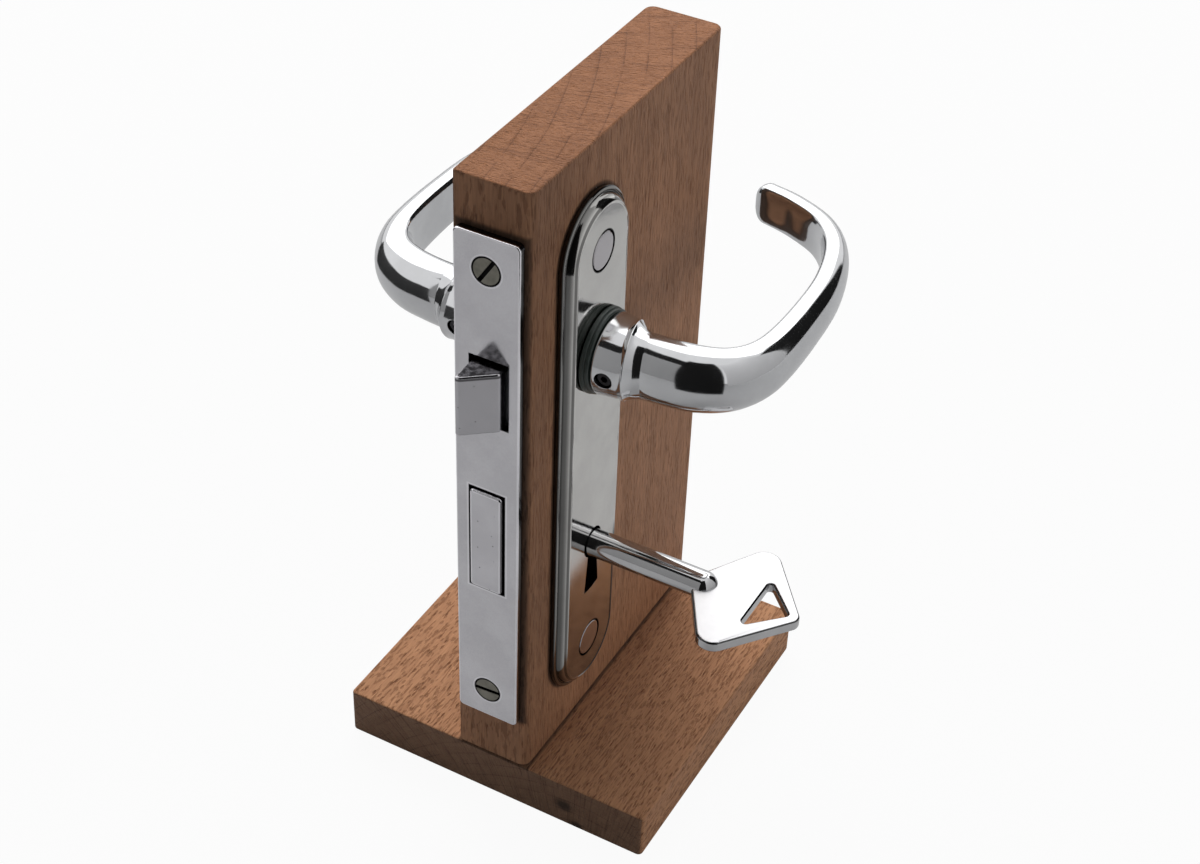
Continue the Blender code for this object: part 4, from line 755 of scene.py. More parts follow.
def forend_painted_light_and_mottle(metal):
    """Painted shade on the side wall, painted highlights on the rims, and painted dark lines round the
    deadbolt and the screw heads, over a fine mottle.
    """
    strip = outside_rectangle(metal, *FOREND_FACE)
    # Painted shade on the side wall.
    back = (metal.axis("Y") - forend_low.y).step(0.00045, 0.00075)
    rim = strip.step(-0.0006, -0.0003) * (1.0 - back)
    hole = outside_rectangle(metal, *DEADBOLT_OPENING)
    line = hole.step(0.00030, 0.00012)
    hole_rim = hole.band(0.0004, 0.0007, 0.0002)
    seat = forend_screw_distance(metal)
    seat_line = seat.step(0.00455, 0.00435)
    seat_rim = seat.band(0.0047, 0.0049, 0.0001)
    # A fine mottle, painted highlights on the rims, and painted shade on the side wall and in the gaps
    # round the deadbolt and the screws.
    bright = 0.93 + metal.noise(2300.0, 2.0) * 0.14 + rim * 0.42 + (hole_rim + seat_rim) * 0.26
    return bright * (1.0 - (back * 0.93).most(line * 0.93).most(seat_line * 0.90))


def forend_screw_unshaded(metal):
    """Where a forend screw keeps its colour; down in its slot and round the rim of its head it is
    painted black as shade.
    """
    # Painted shade: the slot's depth and the head's rim go black.
    slot = (metal.axis("Y") - forend_low.y).step(0.00035, 0.00010)
    return slot * forend_screw_distance(metal).step(0.00402, 0.00384)


def sleeve_rim_shade(metal):
    """Painted shade in the gap round the rim of a sleeve's head."""
    return screw_distance(metal).step(SLEEVE_RADIUS, SLEEVE_RADIUS - 0.00022)


print("sleeve heads: %.1f mm across" % (SLEEVE_RADIUS * 2000))

# %% [markdown]
# ## Painted light and wear on the bolts and the key
# The bolts' edges are painted bright as highlights and their upper faces painted dark as shade, with
# pits and small dark marks. Fingers and pockets take the mirror off a key's bow, but not off its round
# rim or its stem, which the door keeps out of reach. The bow's flat faces are also painted brighter as
# a highlight, with a painted dark line along their edge.

# %% Painted light and wear on bolts and key
def bolt_painted_light_and_marks(metal):
    """Painted highlights on the edges and along the latch's roof, painted dark lines below the roof and
    along edges that don't face up, and painted shade over the top with pits in it, with small dark
    marks. The latch is darker than the deadbolt below it.
    """
    up = metal.upward()
    top = up.step(0.80, 0.95)
    pits = metal.noise(700.0, 3.0, 0.7).step(0.42, 0.62)
    edges = outside_rectangle(metal, *DEADBOLT_HEAD).size()
    z = metal.axis("Z")
    above = LATCH_ROOF + 0.001
    # Painted highlights on the edges and along the latch's roof.
    lip = z.step(LATCH_ROOF - 0.0005, LATCH_ROOF - 0.0003) * (above - z).step(0.0, 0.0002)
    painted_edge_highlight = edges.band(0.0005, 0.0007, 0.0002).most(lip)
    # Painted dark lines below the roof and along edges that don't face up.
    below_lip = (LATCH_ROOF - z).band(0.0008, 0.0012, 0.0003)
    below_lip = below_lip.most(edges.step(0.00042, 0.00025) * up.step(0.5, 0.2))
    marks = metal.cells(340.0).step(0.10, 0.05) * 0.55
    # Painted shade over the top, with pits in it, and small dark marks.
    shade_and_pits = (top * (0.50 + pits * 0.38)).most(below_lip * 0.75).most(marks)
    # The latch is darker than the deadbolt below it.
    worn = 1.05 - (z - LATCH_FLOOR).step(-0.010, -0.008) * 0.20
    return (worn + painted_edge_highlight * 0.36) * (1.0 - shade_and_pits)


def bow_faces(metal):
    """The two flat faces of a key's bow, without their round rim and without the stem."""
    height = (metal.axis("Z") - KEY_Z + BOW_DROP).size()
    flat = height.step(BOW_HALF + 0.0003, BOW_HALF + 0.0001) * metal.upward().size().step(0.90, 0.98)
    return flat * metal.axis("X").step(BOW_START, BOW_START + 0.0005)


def bow_satin(metal):
    """How dull the bow's flat faces are."""
    return bow_faces(metal) * 0.32


def bow_painted_light(metal):
    """The flat faces are painted brighter as a highlight, and a painted dark line follows their edge.
    """
    x, y = metal.axis("X"), (metal.axis("Y") - AXIS_Y).size()
    off_stem = (x - STEM_END - 0.0008).most(y - STEM_RADIUS - 0.00045).step(-0.0002, 0.0002)
    turned_over = metal.upward().size().band(0.45, 0.86, 0.06)
    rim = off_stem * x.step(BOW_START, BOW_START + 0.0010) * turned_over
    # Painted highlight on the flat faces and a painted dark line along their edge.
    return (1.0 + bow_faces(metal) * 0.28) * (1.0 - rim * 0.84)


print("key: bow from x %.1f mm, stem to %.1f mm" % (BOW_START * 1000, STEM_END * 1000))

# %% [markdown]
# ## The finishes
# The recipes and their painted shade, highlights and wear come together here. Handles are the cleanest
# mirror. The forend and the bolts are duller and a little wavier, because they were polished flat on a
# wheel, and the key is the smoothest. The plain steels only show in the screws and through the
# openings.

# %% Finishes of the metals and plastics
handle_chrome = chrome("handle_chrome", (0.66, 0.665, 0.68), gloss=0.075, haze=0.05, wave=0.05)
plate_chrome = chrome("plate_chrome", (0.66, 0.65, 0.63), gloss=0.08, haze=0.06, wave=0.04,
                      painted_light_and_wear=plate_painted_light_and_mottle)
forend_chrome = chrome("forend_chrome", (0.68, 0.67, 0.70), gloss=0.12, haze=0.08, wave=0.06,
                       painted_light_and_wear=forend_painted_light_and_mottle)
bolt_chrome = chrome("bolt_chrome", (0.64, 0.63, 0.66), gloss=0.12, haze=0.09, wave=0.09,
                     painted_light_and_wear=bolt_painted_light_and_marks)
key_chrome = chrome("key_chrome", (0.60, 0.60, 0.61), gloss=0.05, haze=0.04, wave=0.03,
                    painted_light_and_wear=bow_painted_light, satin=bow_satin)
sleeve_steel = chrome("sleeve_steel", (0.56, 0.54, 0.56), gloss=0.12, haze=0.08, wave=0.06,
                      painted_light_and_wear=sleeve_rim_shade)
screw_steel = turned_steel("screw_steel", (0.25, 0.24, 0.205), 1400.0, forend_screw_unshaded)
case_steel = rolled_steel("case_steel", (0.52, 0.53, 0.55))
spindle_steel = rolled_steel("spindle_steel", (0.50, 0.50, 0.50))
spring_steel = turned_steel("spring_steel", (0.34, 0.34, 0.36), 2200.0)
grub_steel = turned_steel("grub_steel", (0.06, 0.06, 0.065), 1800.0)
cast_brass = turned_steel("cast_brass", (0.66, 0.48, 0.22), 1200.0)
bush_nylon = moulded("bush_nylon", (0.030, 0.042, 0.036), gloss=0.30)
print("finishes:", ", ".join(material.name for material in bpy.data.materials))

# %% [markdown]
# ## The display block and its foot
# The block is sawn and planed beech with its corners broken by sandpaper. A box with a sharp
# corner catches no light, so each edge gets a small round. The pocket for the lock case and the
# holes for the spindle, the key and the plates' bolts are cut through it, and they show when a
# bolt is drawn back.

# %% Display block
SANDED_EDGE = 0.0007
POCKET_HALF, POCKET_GAP = 0.0073, 0.0003
SPINDLE_BORE, PLATE_BOLT_BORE, THROUGH = 0.0099, 0.0040, 0.014
block_outline = rounded_box((block_low.x, block_low.y), (block_high.x, block_high.y),
                            (0.0030, 0.0030, 0.0012, 0.0030))
display_block = object_from("display_block", slab(block_outline, block_low.z, block_high.z, at()))
soften(display_block, SANDED_EDGE, 3, 50.0)
settle(display_block)


def keyhole(radius, top_half, bottom_half, depth, steps=40):
    """A round hole with a skirt below it, drawn in (y, z) round the key's axis."""
    waist = math.degrees(math.asin(top_half / radius))
    flare = math.degrees(math.asin(bottom_half / depth))
    points = arc((AXIS_Y, KEY_Z), radius, -90 + waist, 270 - waist, steps)
    return points + arc((AXIS_Y, KEY_Z), depth, 270 - flare, 270 + flare, 8)


case_low, case_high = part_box("lock_case")
cut(display_block, block_of((-POCKET_HALF, FRONT_Y - 0.002, case_low.z - POCKET_GAP),
                            (POCKET_HALF, case_high.y + POCKET_GAP, case_high.z + POCKET_GAP)))
cut(display_block, rod(SPINDLE_BORE, -THROUGH, THROUGH, spindle_place @ ALONG_X))
keyway = keyhole(radius=0.006, top_half=0.0036, bottom_half=0.0051, depth=0.0192)
cut(display_block, slab(keyway, -THROUGH, THROUGH, SIDE_VIEW))
for height in SCREW_HEIGHTS:
    cut(display_block, rod(PLATE_BOLT_BORE, -THROUGH, THROUGH, at(y=AXIS_Y, z=height) @ ALONG_X))
finish_piece(display_block, "mount_block", ["door_block"], beech_block)

# %% [markdown]
# ## The foot
# The foot is a square board laid flat, with its grain from front to back, so its top and sides
# show the dark flecks and its front the end of the board. It is made as the block is. Two
# countersunk holes in its underside take the screws that hold the block.

# %% Display foot
foot_outline = rounded_box((foot_low.x, foot_low.y), (foot_high.x, foot_high.y), (0.0016,) * 4)
foot = object_from("foot", slab(foot_outline, foot_low.z, foot_high.z, at()))
soften(foot, SANDED_EDGE, 3, 50.0)
settle(foot)
hole = [(0.0, 0.002), (0.0047, 0.002), (0.0047, -0.0002), (0.0024, -0.0026), (0.0024, -0.020),
        (0.0, -0.020)]
for name in ("foot_screw_front", "foot_screw_rear"):
    low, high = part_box(name)
    cut(foot, turned(hole, at(y=(low.y + high.y) / 2) @ UPSIDE_DOWN, 48))
finish_piece(foot, "mount_block", ["display_foot"], beech_foot)

# %% [markdown]
# ## Slotted screws
# Screws repeat, so one Geometry Nodes tree makes them all: a rim, a cone and a rod for the blank,
# a box that cuts the slot, and one instance on each point it is given. The points carry the way
# each screw faces and how far round its slot stopped, because nobody lines slots up.

# %% A tree that makes screws
def geometry_tree(name, sockets, result):
    """An empty tree, its inputs' sockets and its result's socket. sockets is (name, kind) pairs."""
    tree = bpy.data.node_groups.new(name, "GeometryNodeTree")
    for key, kind in sockets:
        tree.interface.new_socket(key, in_out="INPUT", socket_type="NodeSocket" + kind)
    tree.interface.new_socket(result, in_out="OUTPUT", socket_type="NodeSocketGeometry")
    given = tree.nodes.new("NodeGroupInput").outputs
    return tree, given, tree.nodes.new("NodeGroupOutput").inputs[result]


def run_tree(made, tree, values):
    """Runs a tree on an object with a value for each named input, and keeps the plain mesh."""
    modifier = modify(made, "NODES", node_group=tree)
    known = {item.name: item.identifier for item in tree.interface.items_tree}
    for key, value in values.items():
        modifier[known[key]] = value
    settle(made)


SCREW_SIZES = ("Head Radius", "Head Depth", "Rim", "Shank Radius", "Length", "Slot Width",
               "Slot Depth")


def screw_tree():
    sockets = (("Points", "Geometry"), *((name, "Float") for name in SCREW_SIZES),
               ("Finish", "Material"))
    tree, size, result = geometry_tree("slotted_screw", sockets, "Screws")

    def node(kind, settings=None, **inputs):
        inputs = {key.replace("_", " "): value for key, value in inputs.items()}
        return add_node(tree, kind, settings, inputs).outputs[0]

    def moved(shape, height):
        offset = node("ShaderNodeCombineXYZ", Z=height)
        return node("GeometryNodeTransform", Geometry=shape, Translation=offset)

    head, depth, rim_height, shank_radius, length, slot_width, slot_depth = (
        Value(tree, size[name]) for name in SCREW_SIZES)
    rim = moved(node("GeometryNodeMeshCylinder", Vertices=64, Radius=head, Depth=rim_height),
                rim_height * -0.5)
    cone = moved(node("GeometryNodeMeshCone", Vertices=64, Radius_Top=head,
                      Radius_Bottom=shank_radius, Depth=depth - rim_height * 0.9), depth * -1.0)
    shank_length = length - depth * 0.5
    shank = moved(node("GeometryNodeMeshCylinder", Vertices=40, Radius=shank_radius,
                       Depth=shank_length), shank_length * 0.5 - length)
    blank = add_node(tree, "GeometryNodeMeshBoolean", {"operation": "UNION", "solver": "EXACT"})
    for shape in (rim, cone, shank):
        tree.links.new(shape, blank.inputs["Mesh 2"])
    bar_size = node("ShaderNodeCombineXYZ", X=head * 3.0, Y=slot_width, Z=slot_depth * 2.0)
    slotted = node("GeometryNodeMeshBoolean", {"operation": "DIFFERENCE", "solver": "EXACT"},
                   Mesh_1=blank.outputs[0], Mesh_2=node("GeometryNodeMeshCube", Size=bar_size))
    facing = node("GeometryNodeInputNamedAttribute", {"data_type": "FLOAT_VECTOR"}, Name="facing")
    placed = node("GeometryNodeInstanceOnPoints", Points=size["Points"], Instance=slotted,
                  Rotation=facing)
    real = node("GeometryNodeRealizeInstances", Geometry=placed)
    done = node("GeometryNodeSetMaterial", Geometry=real, Material=size["Finish"])
    tree.links.new(done, result)
    return tree


SLOTTED_SCREW = screw_tree()
print("screw tree:", len(SLOTTED_SCREW.nodes), "nodes")

# %% [markdown]
# ## Screws on their points
# One object holds all the screws of a kind. Its mesh is only a point where each head's middle
# lies, with the direction stored beside it, and the tree puts a screw there. The edges are
# rounded afterwards, because a bevel has to see the finished cuts.

# %% Putting screws on points
def middle(name):
    low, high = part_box(name)
    return (low + high) / 2


def turn(degrees):
    return Matrix.Rotation(math.radians(degrees), 4, "Z")


def countersunk(head, depth, shank, length, rim=0.0002, slot_width=0.0012, slot_depth=0.0009):
    return dict(zip(SCREW_SIZES, (head, depth, rim, shank, length, slot_width, slot_depth)))


def screws(name, places, sizes, nodes, material, edge=0.00012):
    """places is a matrix for each screw, whose Z axis points out of its head."""
    mesh = bpy.data.meshes.new(name)
    mesh.from_pydata([place.translation for place in places], [], [])
    facing = mesh.attributes.new("facing", "FLOAT_VECTOR", "POINT")
    for value, place in zip(facing.data, places):
        value.vector = place.to_euler()
    made = bpy.data.objects.new(name, mesh)
    bpy.context.scene.collection.objects.link(made)
    run_tree(made, SLOTTED_SCREW, {**sizes, "Finish": material})
    soften(made, edge, 2, 35.0)
    settle(made)
    finish_piece(made, "mount_block", nodes, material)


names = ["forend_screw_upper", "forend_screw_lower"]
places = [at(y=forend_low.y, z=middle(name).z) @ ALONG_MINUS_Y @ turn(degrees)
          for name, degrees in zip(names, (57.0, 4.0))]
screws("forend_screws", places, countersunk(head=0.0041, depth=0.0021, shank=0.0020, length=0.0200),
       names, screw_steel)
names = ["foot_screw_front", "foot_screw_rear"]
places = [at(y=middle(name).y, z=0.0003) @ UPSIDE_DOWN @ turn(degrees)
          for name, degrees in zip(names, (78.0, 21.0))]
screws("foot_screws", places, countersunk(head=0.0042, depth=0.0023, shank=0.0021, length=0.0360),
       names, case_steel)
names = ["cover_screw_1", "cover_screw_2", "cover_screw_3"]
cover_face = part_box("case_cover")[1].x
places = [at(cover_face, middle(name).y, middle(name).z) @ ALONG_X @ turn(degrees)
          for name, degrees in zip(names, (15.0, 80.0, 130.0))]
sizes = countersunk(head=0.0023, depth=0.00096, shank=0.0010, length=0.0075, slot_width=0.0007,
                    slot_depth=0.00045)
screws("cover_screws", places, sizes, names, spindle_steel, edge=0.00006)
names = ["plate_bolt_upper", "plate_bolt_lower"]
places = [at(-plate_high.x + 0.0002, AXIS_Y, height) @ ALONG_MINUS_X @ turn(degrees)
          for height, degrees in zip(SCREW_HEIGHTS, (96.0, 84.0))]
sizes = countersunk(head=0.0058, depth=0.0015, shank=0.0019, length=0.0230, rim=0.0013)
screws("plate_bolts", places, sizes, names, spindle_steel)

# %% [markdown]
# ## The forend
# The forend is a flat strip with rounded corners, let into the door's edge. Its face mirrors the bench,
# so its rim has to be a true round edge: that is the bright line round it, which its finish also paints
# as a highlight. The two openings for the bolts and the countersunk seats of its screws are cut out of
# it.

# %% Forend
forend_outline = rounded_box(*FOREND_FACE, (0.0016,) * 4)
forend = object_from("forend_strip", slab(forend_outline, -forend_high.y, -forend_low.y, FRONT_VIEW))
soften(forend, 0.0004, 4, 50.0)
settle(forend)
for low, high in (LATCH_OPENING, DEADBOLT_OPENING):
    cut(forend, block_of((low[0], forend_low.y - 0.001, low[1]),
                         (high[0], forend_high.y + 0.001, high[1])))
seat = [(0.0, 0.002), (0.0044, 0.002), (0.0044, -0.0002), (0.0023, -0.0022), (0.0023, -0.005),
        (0.0, -0.005)]
for name in ("forend_screw_upper", "forend_screw_lower"):
    cut(forend, turned(seat, at(y=forend_low.y, z=middle(name).z) @ ALONG_MINUS_Y, 64))
soften(forend, 0.00012, 2, 60.0)
settle(forend)
finish_piece(forend, "mount_block", ["forend"], forend_chrome)

# %% [markdown]
# ## Latch bolt
# The latch is cast with a bevel on one side, so that a closing door pushes it in by itself. It is
# remade here with round edges, in its measured place. Behind the head are a shoulder that stops
# it at the forend, a tail with a lug that the follower pulls, and a spigot for the spring.

# %% Latch bolt
latch_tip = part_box("latch_bolt")[0].y
latch_rear = latch_tip + 0.0210
bevel_start = forend_low.y - 0.0026
head_outline = [(-0.0042, latch_tip), (-0.0028, latch_tip), (0.0056, bevel_start),
                (0.0056, latch_rear), (-0.0042, latch_rear)]
latch = object_from("latch", slab(head_outline, LATCH_FLOOR, LATCH_ROOF, at()))
soften(latch, 0.0006, 4, 20.0)
settle(latch)
shoulder_front, shoulder_rear = -0.0527, -0.0455
join(latch, block_of((-0.0030, shoulder_front, LATCH_FLOOR - 0.0015),
                     (0.0044, shoulder_rear, LATCH_ROOF + 0.0015)))
tail_front, tail_step, strip_z = -0.0463, -0.0433, SPINDLE_Z + 0.0156
lug_y, lug_rear, strip_roof = AXIS_Y + 0.0023, AXIS_Y + 0.0058, strip_z + 0.0030
tail = [(tail_front, SPINDLE_Z), (tail_step, SPINDLE_Z), (tail_step, strip_z), (lug_y, strip_z),
        (lug_y, strip_z - 0.0064), (lug_rear, strip_z - 0.0064), (lug_rear, strip_roof),
        (tail_front, strip_roof)]
join(latch, slab(tail, -0.0025, 0.0025, SIDE_VIEW))
join(latch, rod(0.0017, 0.0, 0.0058, at(y=lug_y + 0.0017, z=strip_z - 0.0033) @ ALONG_Y, 32))
finish_piece(latch, "latch", ["latch_bolt"], bolt_chrome)

# %% [markdown]
# ## Deadbolt
# The deadbolt is square-edged and has no bevel, because only the key moves it. Its plate runs
# back into the case, with the notch that the key's bit turns in, a slot that slides on a pin of
# the case, and a small stump that the tumblers hold until the right key lifts them.

# %% Deadbolt
dead_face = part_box("deadbolt")[0].y
head_outline = rounded_box(*DEADBOLT_HEAD, (0.0012,) * 4)
dead = object_from("dead_bolt", slab(head_outline, -dead_face - 0.0202, -dead_face, FRONT_VIEW))
soften(dead, 0.0008, 4, 50.0)
settle(dead)
plate_front, plate_end = dead_face + 0.0172, AXIS_Y + 0.0220
plate_floor, plate_roof = KEY_Z + 0.0142, KEY_Z + 0.0280
notch_front, notch_rear, notch_roof = AXIS_Y - 0.0061, AXIS_Y + 0.0111, KEY_Z + 0.0166
bolt_plate = [(plate_front, plate_floor), (notch_front, plate_floor), (notch_front, notch_roof),
              (notch_rear, notch_roof), (notch_rear, plate_floor), (plate_end, plate_floor),
              (plate_end, plate_roof), (plate_front, plate_roof)]
join(dead, slab(bolt_plate, -0.0015, 0.0015, SIDE_VIEW))
guide_y, guide_z, slot_half = AXIS_Y + 0.0110, KEY_Z + 0.0245, 0.0019
guide_slot = arc((guide_y + 0.0075, guide_z), slot_half, -90, 90, 16)
guide_slot += arc((guide_y - 0.0025, guide_z), slot_half, 90, 270, 16)
cut(dead, slab(guide_slot, -0.003, 0.003, SIDE_VIEW))
join(dead, rod(0.0015, 0.0, 0.0054, at(y=AXIS_Y + 0.001, z=guide_z) @ ALONG_X, 32))
finish_piece(dead, "deadbolt", ["deadbolt"], bolt_chrome)

# %% [markdown]
# ## The plates' rolled edge
# Each plate is drawn metal: a lip against the wood, a hollow, a rounded shoulder and then a flat that
# sits slightly lower than the bead round it. Those steps make the plate's dark and bright lines, and
# its finish paints shade and highlights along them as well. They are one profile, of how far in and how
# high, and it is run through a smooth curve so that no facet shows.

# %% Plate profile
PLATE_PROFILE = (
    (0.0, 0.0), (0.0, 0.0011), (0.0003, 0.00135), (0.0010, 0.0015), (0.00135, 0.00125),
    (0.00165, 0.0014), (0.0019, 0.0022), (0.0025, 0.0031), (0.0032, 0.00375),
    (0.0037, 0.0040), (0.0039, 0.0040), (0.0041, 0.00388),
)


def smooth_between(before, first, second, after, t):
    """The row at t from first to second, on a curve that also heeds the rows beside them."""
    return tuple(0.5 * (2 * b + (c - a) * t + (2 * a - 5 * b + 4 * c - d) * t * t
                        + (3 * b - a - 3 * c + d) * t ** 3)
                 for a, b, c, d in zip(before, first, second, after))


def smooth_through(rows, steps):
    """Rows of numbers with smooth ones between them."""
    padded = [rows[0], *rows, rows[-1]]
    path = []
    for i in range(1, len(padded) - 2):
        path += [smooth_between(*padded[i - 1:i + 3], step / steps) for step in range(steps)]
    return path + [tuple(rows[-1])]


fine_profile = [PLATE_PROFILE[0], *smooth_through(PLATE_PROFILE[1:], 3)]
print("plate profile:", len(fine_profile), "points")

# %% [markdown]
# ## Long plates
# The profile is carried round a shape with two straight sides and two half circles, ring inside
# ring, and the last ring closes the flat. Then come the holes: a round one for the handle's neck,
# a keyhole, and a stepped recess at each end where a sleeve or a bolt lies flush.

# %% Plates
PLATE_CUT = (0.011, 0.019)
RECESS = ((0.0, 0.019), (0.0060, 0.019), (0.0060, 0.01438), (0.0039, 0.01438), (0.0039, 0.011),
          (0.0, 0.011))


def long_plate(side, name, node):
    """side is 1 on the key's side and -1 on the other."""
    rings = []
    for inset, height in fine_profile:
        half = PLATE_HALF - inset
        outline = arc((AXIS_Y, SCREW_HEIGHTS[0]), half, 0, 180, 48)
        outline += arc((AXIS_Y, SCREW_HEIGHTS[1]), half, 180, 360, 48)
        rings.append([Vector((side * (PLATE_BACK + height), y, z)) for y, z in outline])
    made = object_from(name, skin(rings))
    out = ALONG_X if side > 0 else ALONG_MINUS_X
    cut(made, rod(0.0090, *PLATE_CUT, spindle_place @ out, 96))
    outline = keyhole(radius=0.0050, top_half=0.0026, bottom_half=0.0041, depth=0.0182)
    cutter = object_from("keyhole", slab(outline, *PLATE_CUT, SIDE_VIEW))
    mirror(cutter, side)
    combine(made, cutter, "DIFFERENCE")
    for height in SCREW_HEIGHTS:
        cut(made, turned(RECESS, at(y=AXIS_Y, z=height) @ out, 64))
    soften(made, 0.00015, 2, 55.0)
    settle(made)
    finish_piece(made, "mount_block", [node], plate_chrome, 28.0)


long_plate(1, "long_plate_right", "plate_right")
long_plate(-1, "long_plate_left", "plate_left")

# %% [markdown]
# ## Sleeve nuts
# On the key side the plate's bolts end in sleeves with plain round heads, set flush. The thin dark ring
# round each head is the gap that it needs, darkened further by painted shade in the finishes of the
# sleeve and the plate. A sleeve is turned on a lathe, so a profile of (radius, height) points is all it
# takes, with the bore that the bolt screws into.

# %% Sleeves
plate_face = PLATE_BACK + PLATE_PROFILE[-1][1]
barrel, bore = 0.0036, 0.0022
profile = [(0.0, 0.0), (SLEEVE_RADIUS - 0.0005, 0.0), (SLEEVE_RADIUS - 0.00018, -0.00006),
           (SLEEVE_RADIUS, -0.00024), (SLEEVE_RADIUS, -0.0015), (barrel, -0.0015),
           (barrel, -0.0205), (bore, -0.0205), (bore, -0.0025), (0.0, -0.0025)]
for name, height in zip(("upper", "lower"), SCREW_HEIGHTS):
    sleeve = object_from("sleeve_" + name, turned(profile, at(plate_face, AXIS_Y, height) @ ALONG_X))
    finish_piece(sleeve, "mount_block", ["plate_sleeve_" + name], sleeve_steel, 50.0)

# %% [markdown]
# ## Bushes
# The bush is the black ring that the handle turns in. It is wide in front of the plate and steps
# down to a neck inside the plate's hole. Its rim has two fine grooves, which are real shape here,
# because the light catches their edges.

# %% Bushes
back, front = bush_low.x, bush_high.x
seat = back + 0.0030
inner, neck = 0.0073, 0.0087
profile = [(inner, front), (0.0115, front), (0.01195, front - 0.0001), (0.01228, front - 0.0004),
           (0.01235, front - 0.0009), (0.01215, front - 0.00105), (0.01215, front - 0.0013),
           (0.01245, front - 0.00145), (0.0126, front - 0.0017), (0.0126, seat + 0.0002),
           (0.0124, seat), (neck, seat), (neck, back), (inner, back)]
for name, out in (("right", ALONG_X), ("left", ALONG_MINUS_X)):
    bush = object_from("bush_ring_" + name, turned(profile, spindle_place @ out, 128, closed=True))
    finish_piece(bush, "mount_block", ["bush_" + name], bush_nylon, 40.0)

# %% [markdown]
# ## Lever handles
# A lever handle is the hardest shape here. It starts as a round collar, opens to a crisp ridge,
# drops to a narrow neck and becomes a grip that is round outside and flatter inside, which sweeps
# back and curls in towards the door. A row of stations holds the middle line, as how far out and
# how far back it is, and the section's two half sizes. A smooth curve fills in between them.

# %% Handle stations
COLLAR_START, COLLAR_RADIUS, COLLAR_EDGE = bush_high.x + 0.0003, 0.0119, 0.0005
BOSS_RADIUS = 0.0069
RIDGE_OUT, RIDGE_RADIUS, RIDGE_TILT = 0.0266, 0.0115, math.radians(10.5)
RIDGE_FLARE = 0.00035
NECK = ((0.0275, -0.0001, 0.0104, 0.0109), (0.0290, -0.0003, 0.0088, 0.0104))
GRIP = (
    (0.0310, -0.0003, 0.0075, 0.0101),
    (0.0375, 0.0001, 0.0070, 0.0099),
    (0.0452, 0.0015, 0.0067, 0.0097),
    (0.0524, 0.0054, 0.0059, 0.0093),
    (0.0571, 0.0125, 0.0051, 0.0089),
    (0.0589, 0.0226, 0.0047, 0.0085),
    (0.0590, 0.0389, 0.0044, 0.0080),
    (0.0576, 0.0558, 0.0042, 0.0076),
    (0.0528, 0.0722, 0.0040, 0.0072),
    (0.0450, 0.0830, 0.0039, 0.0069),
    (0.0333, 0.0891, 0.0040, 0.0067),
    (0.0234, 0.0916, 0.0039, 0.0065),
)
TIP_LENGTH = 0.0042
INNER_FLATNESS = 0.70
print("grip stations:", len(GRIP))

# %% [markdown]
# ## One section of the handle
# Each ring is a superellipse: an ellipse whose power says how square it is. The half that faces
# the door is squarer and thinner than the other, and `grip` blends from a circle to that section,
# so that the same function draws the collar, the neck and the grip.

# %% Handle section
def handle_ring(out, back, direction, half_thick, half_height, grip, points=72):
    """One section. grip is 0 for a circle and 1 for the flattened section of the grip."""
    inward = Vector((-direction.y, direction.x))
    ring = []
    for i in range(points):
        angle = 2 * math.pi * i / points
        across, up = math.cos(angle), math.sin(angle)
        if across > 0:
            power = 2.0 + 2.0 * grip
            width = half_thick * (1 - (1 - INNER_FLATNESS) * grip)
        else:
            power = 2.0 + 0.1 * grip
            width = half_thick * (1 + (1 - INNER_FLATNESS) * grip)
        u = math.copysign(abs(across) ** (2 / power), across) * width
        v = math.copysign(abs(up) ** (2 / power), up) * half_height
        ring.append(Vector((out + inward.x * u, AXIS_Y + back + inward.y * u, SPINDLE_Z + v)))
    return ring


AHEAD = Vector((1.0, 0.0))
TILTED = Vector((math.cos(RIDGE_TILT), math.sin(RIDGE_TILT)))


def round_ring(out, radius, direction=AHEAD):
    return handle_ring(out, 0.0, direction, radius, radius, 0.0)


print("a ring has", len(round_ring(COLLAR_START, COLLAR_RADIUS)), "points")

# %% [markdown]
# ## From collar to curl
# The rings run in four stretches: a collar that leans over little by little and flares at its
# ridge, the neck behind it, the grip along its curved path, and a tip that closes like a thumb.
# The direction of each ring follows the path, apart from the first few of the grip, which lead
# over from the ridge's lean.

# %% Handle rings
COLLAR_STEPS, NECK_STEPS, GRIP_STEPS, TIP_STEPS = 20, 4, 9, 12


def collar_rings():
    """From the hidden boss inside the bush to the flared ridge."""
    rings = [round_ring(bush_low.x, BOSS_RADIUS), round_ring(COLLAR_START - 0.00002, BOSS_RADIUS)]
    for shift, radius in ((0.0, 0.0072), (0.0, 0.0114), (0.00015, 0.01175),
                          (COLLAR_EDGE, COLLAR_RADIUS)):
        rings.append(round_ring(COLLAR_START + shift, radius))
    start = COLLAR_START + COLLAR_EDGE
    for step in range(1, COLLAR_STEPS + 1):
        t = step / COLLAR_STEPS
        lean = Vector((1.0, math.tan(RIDGE_TILT) * t)).normalized()
        flare = max(0.0, (t - 0.82) / 0.18) ** 2 * RIDGE_FLARE
        radius = COLLAR_RADIUS + (RIDGE_RADIUS - RIDGE_FLARE - COLLAR_RADIUS) * t + flare
        rings.append(round_ring(start + (RIDGE_OUT - start) * t, radius, lean))
    return rings


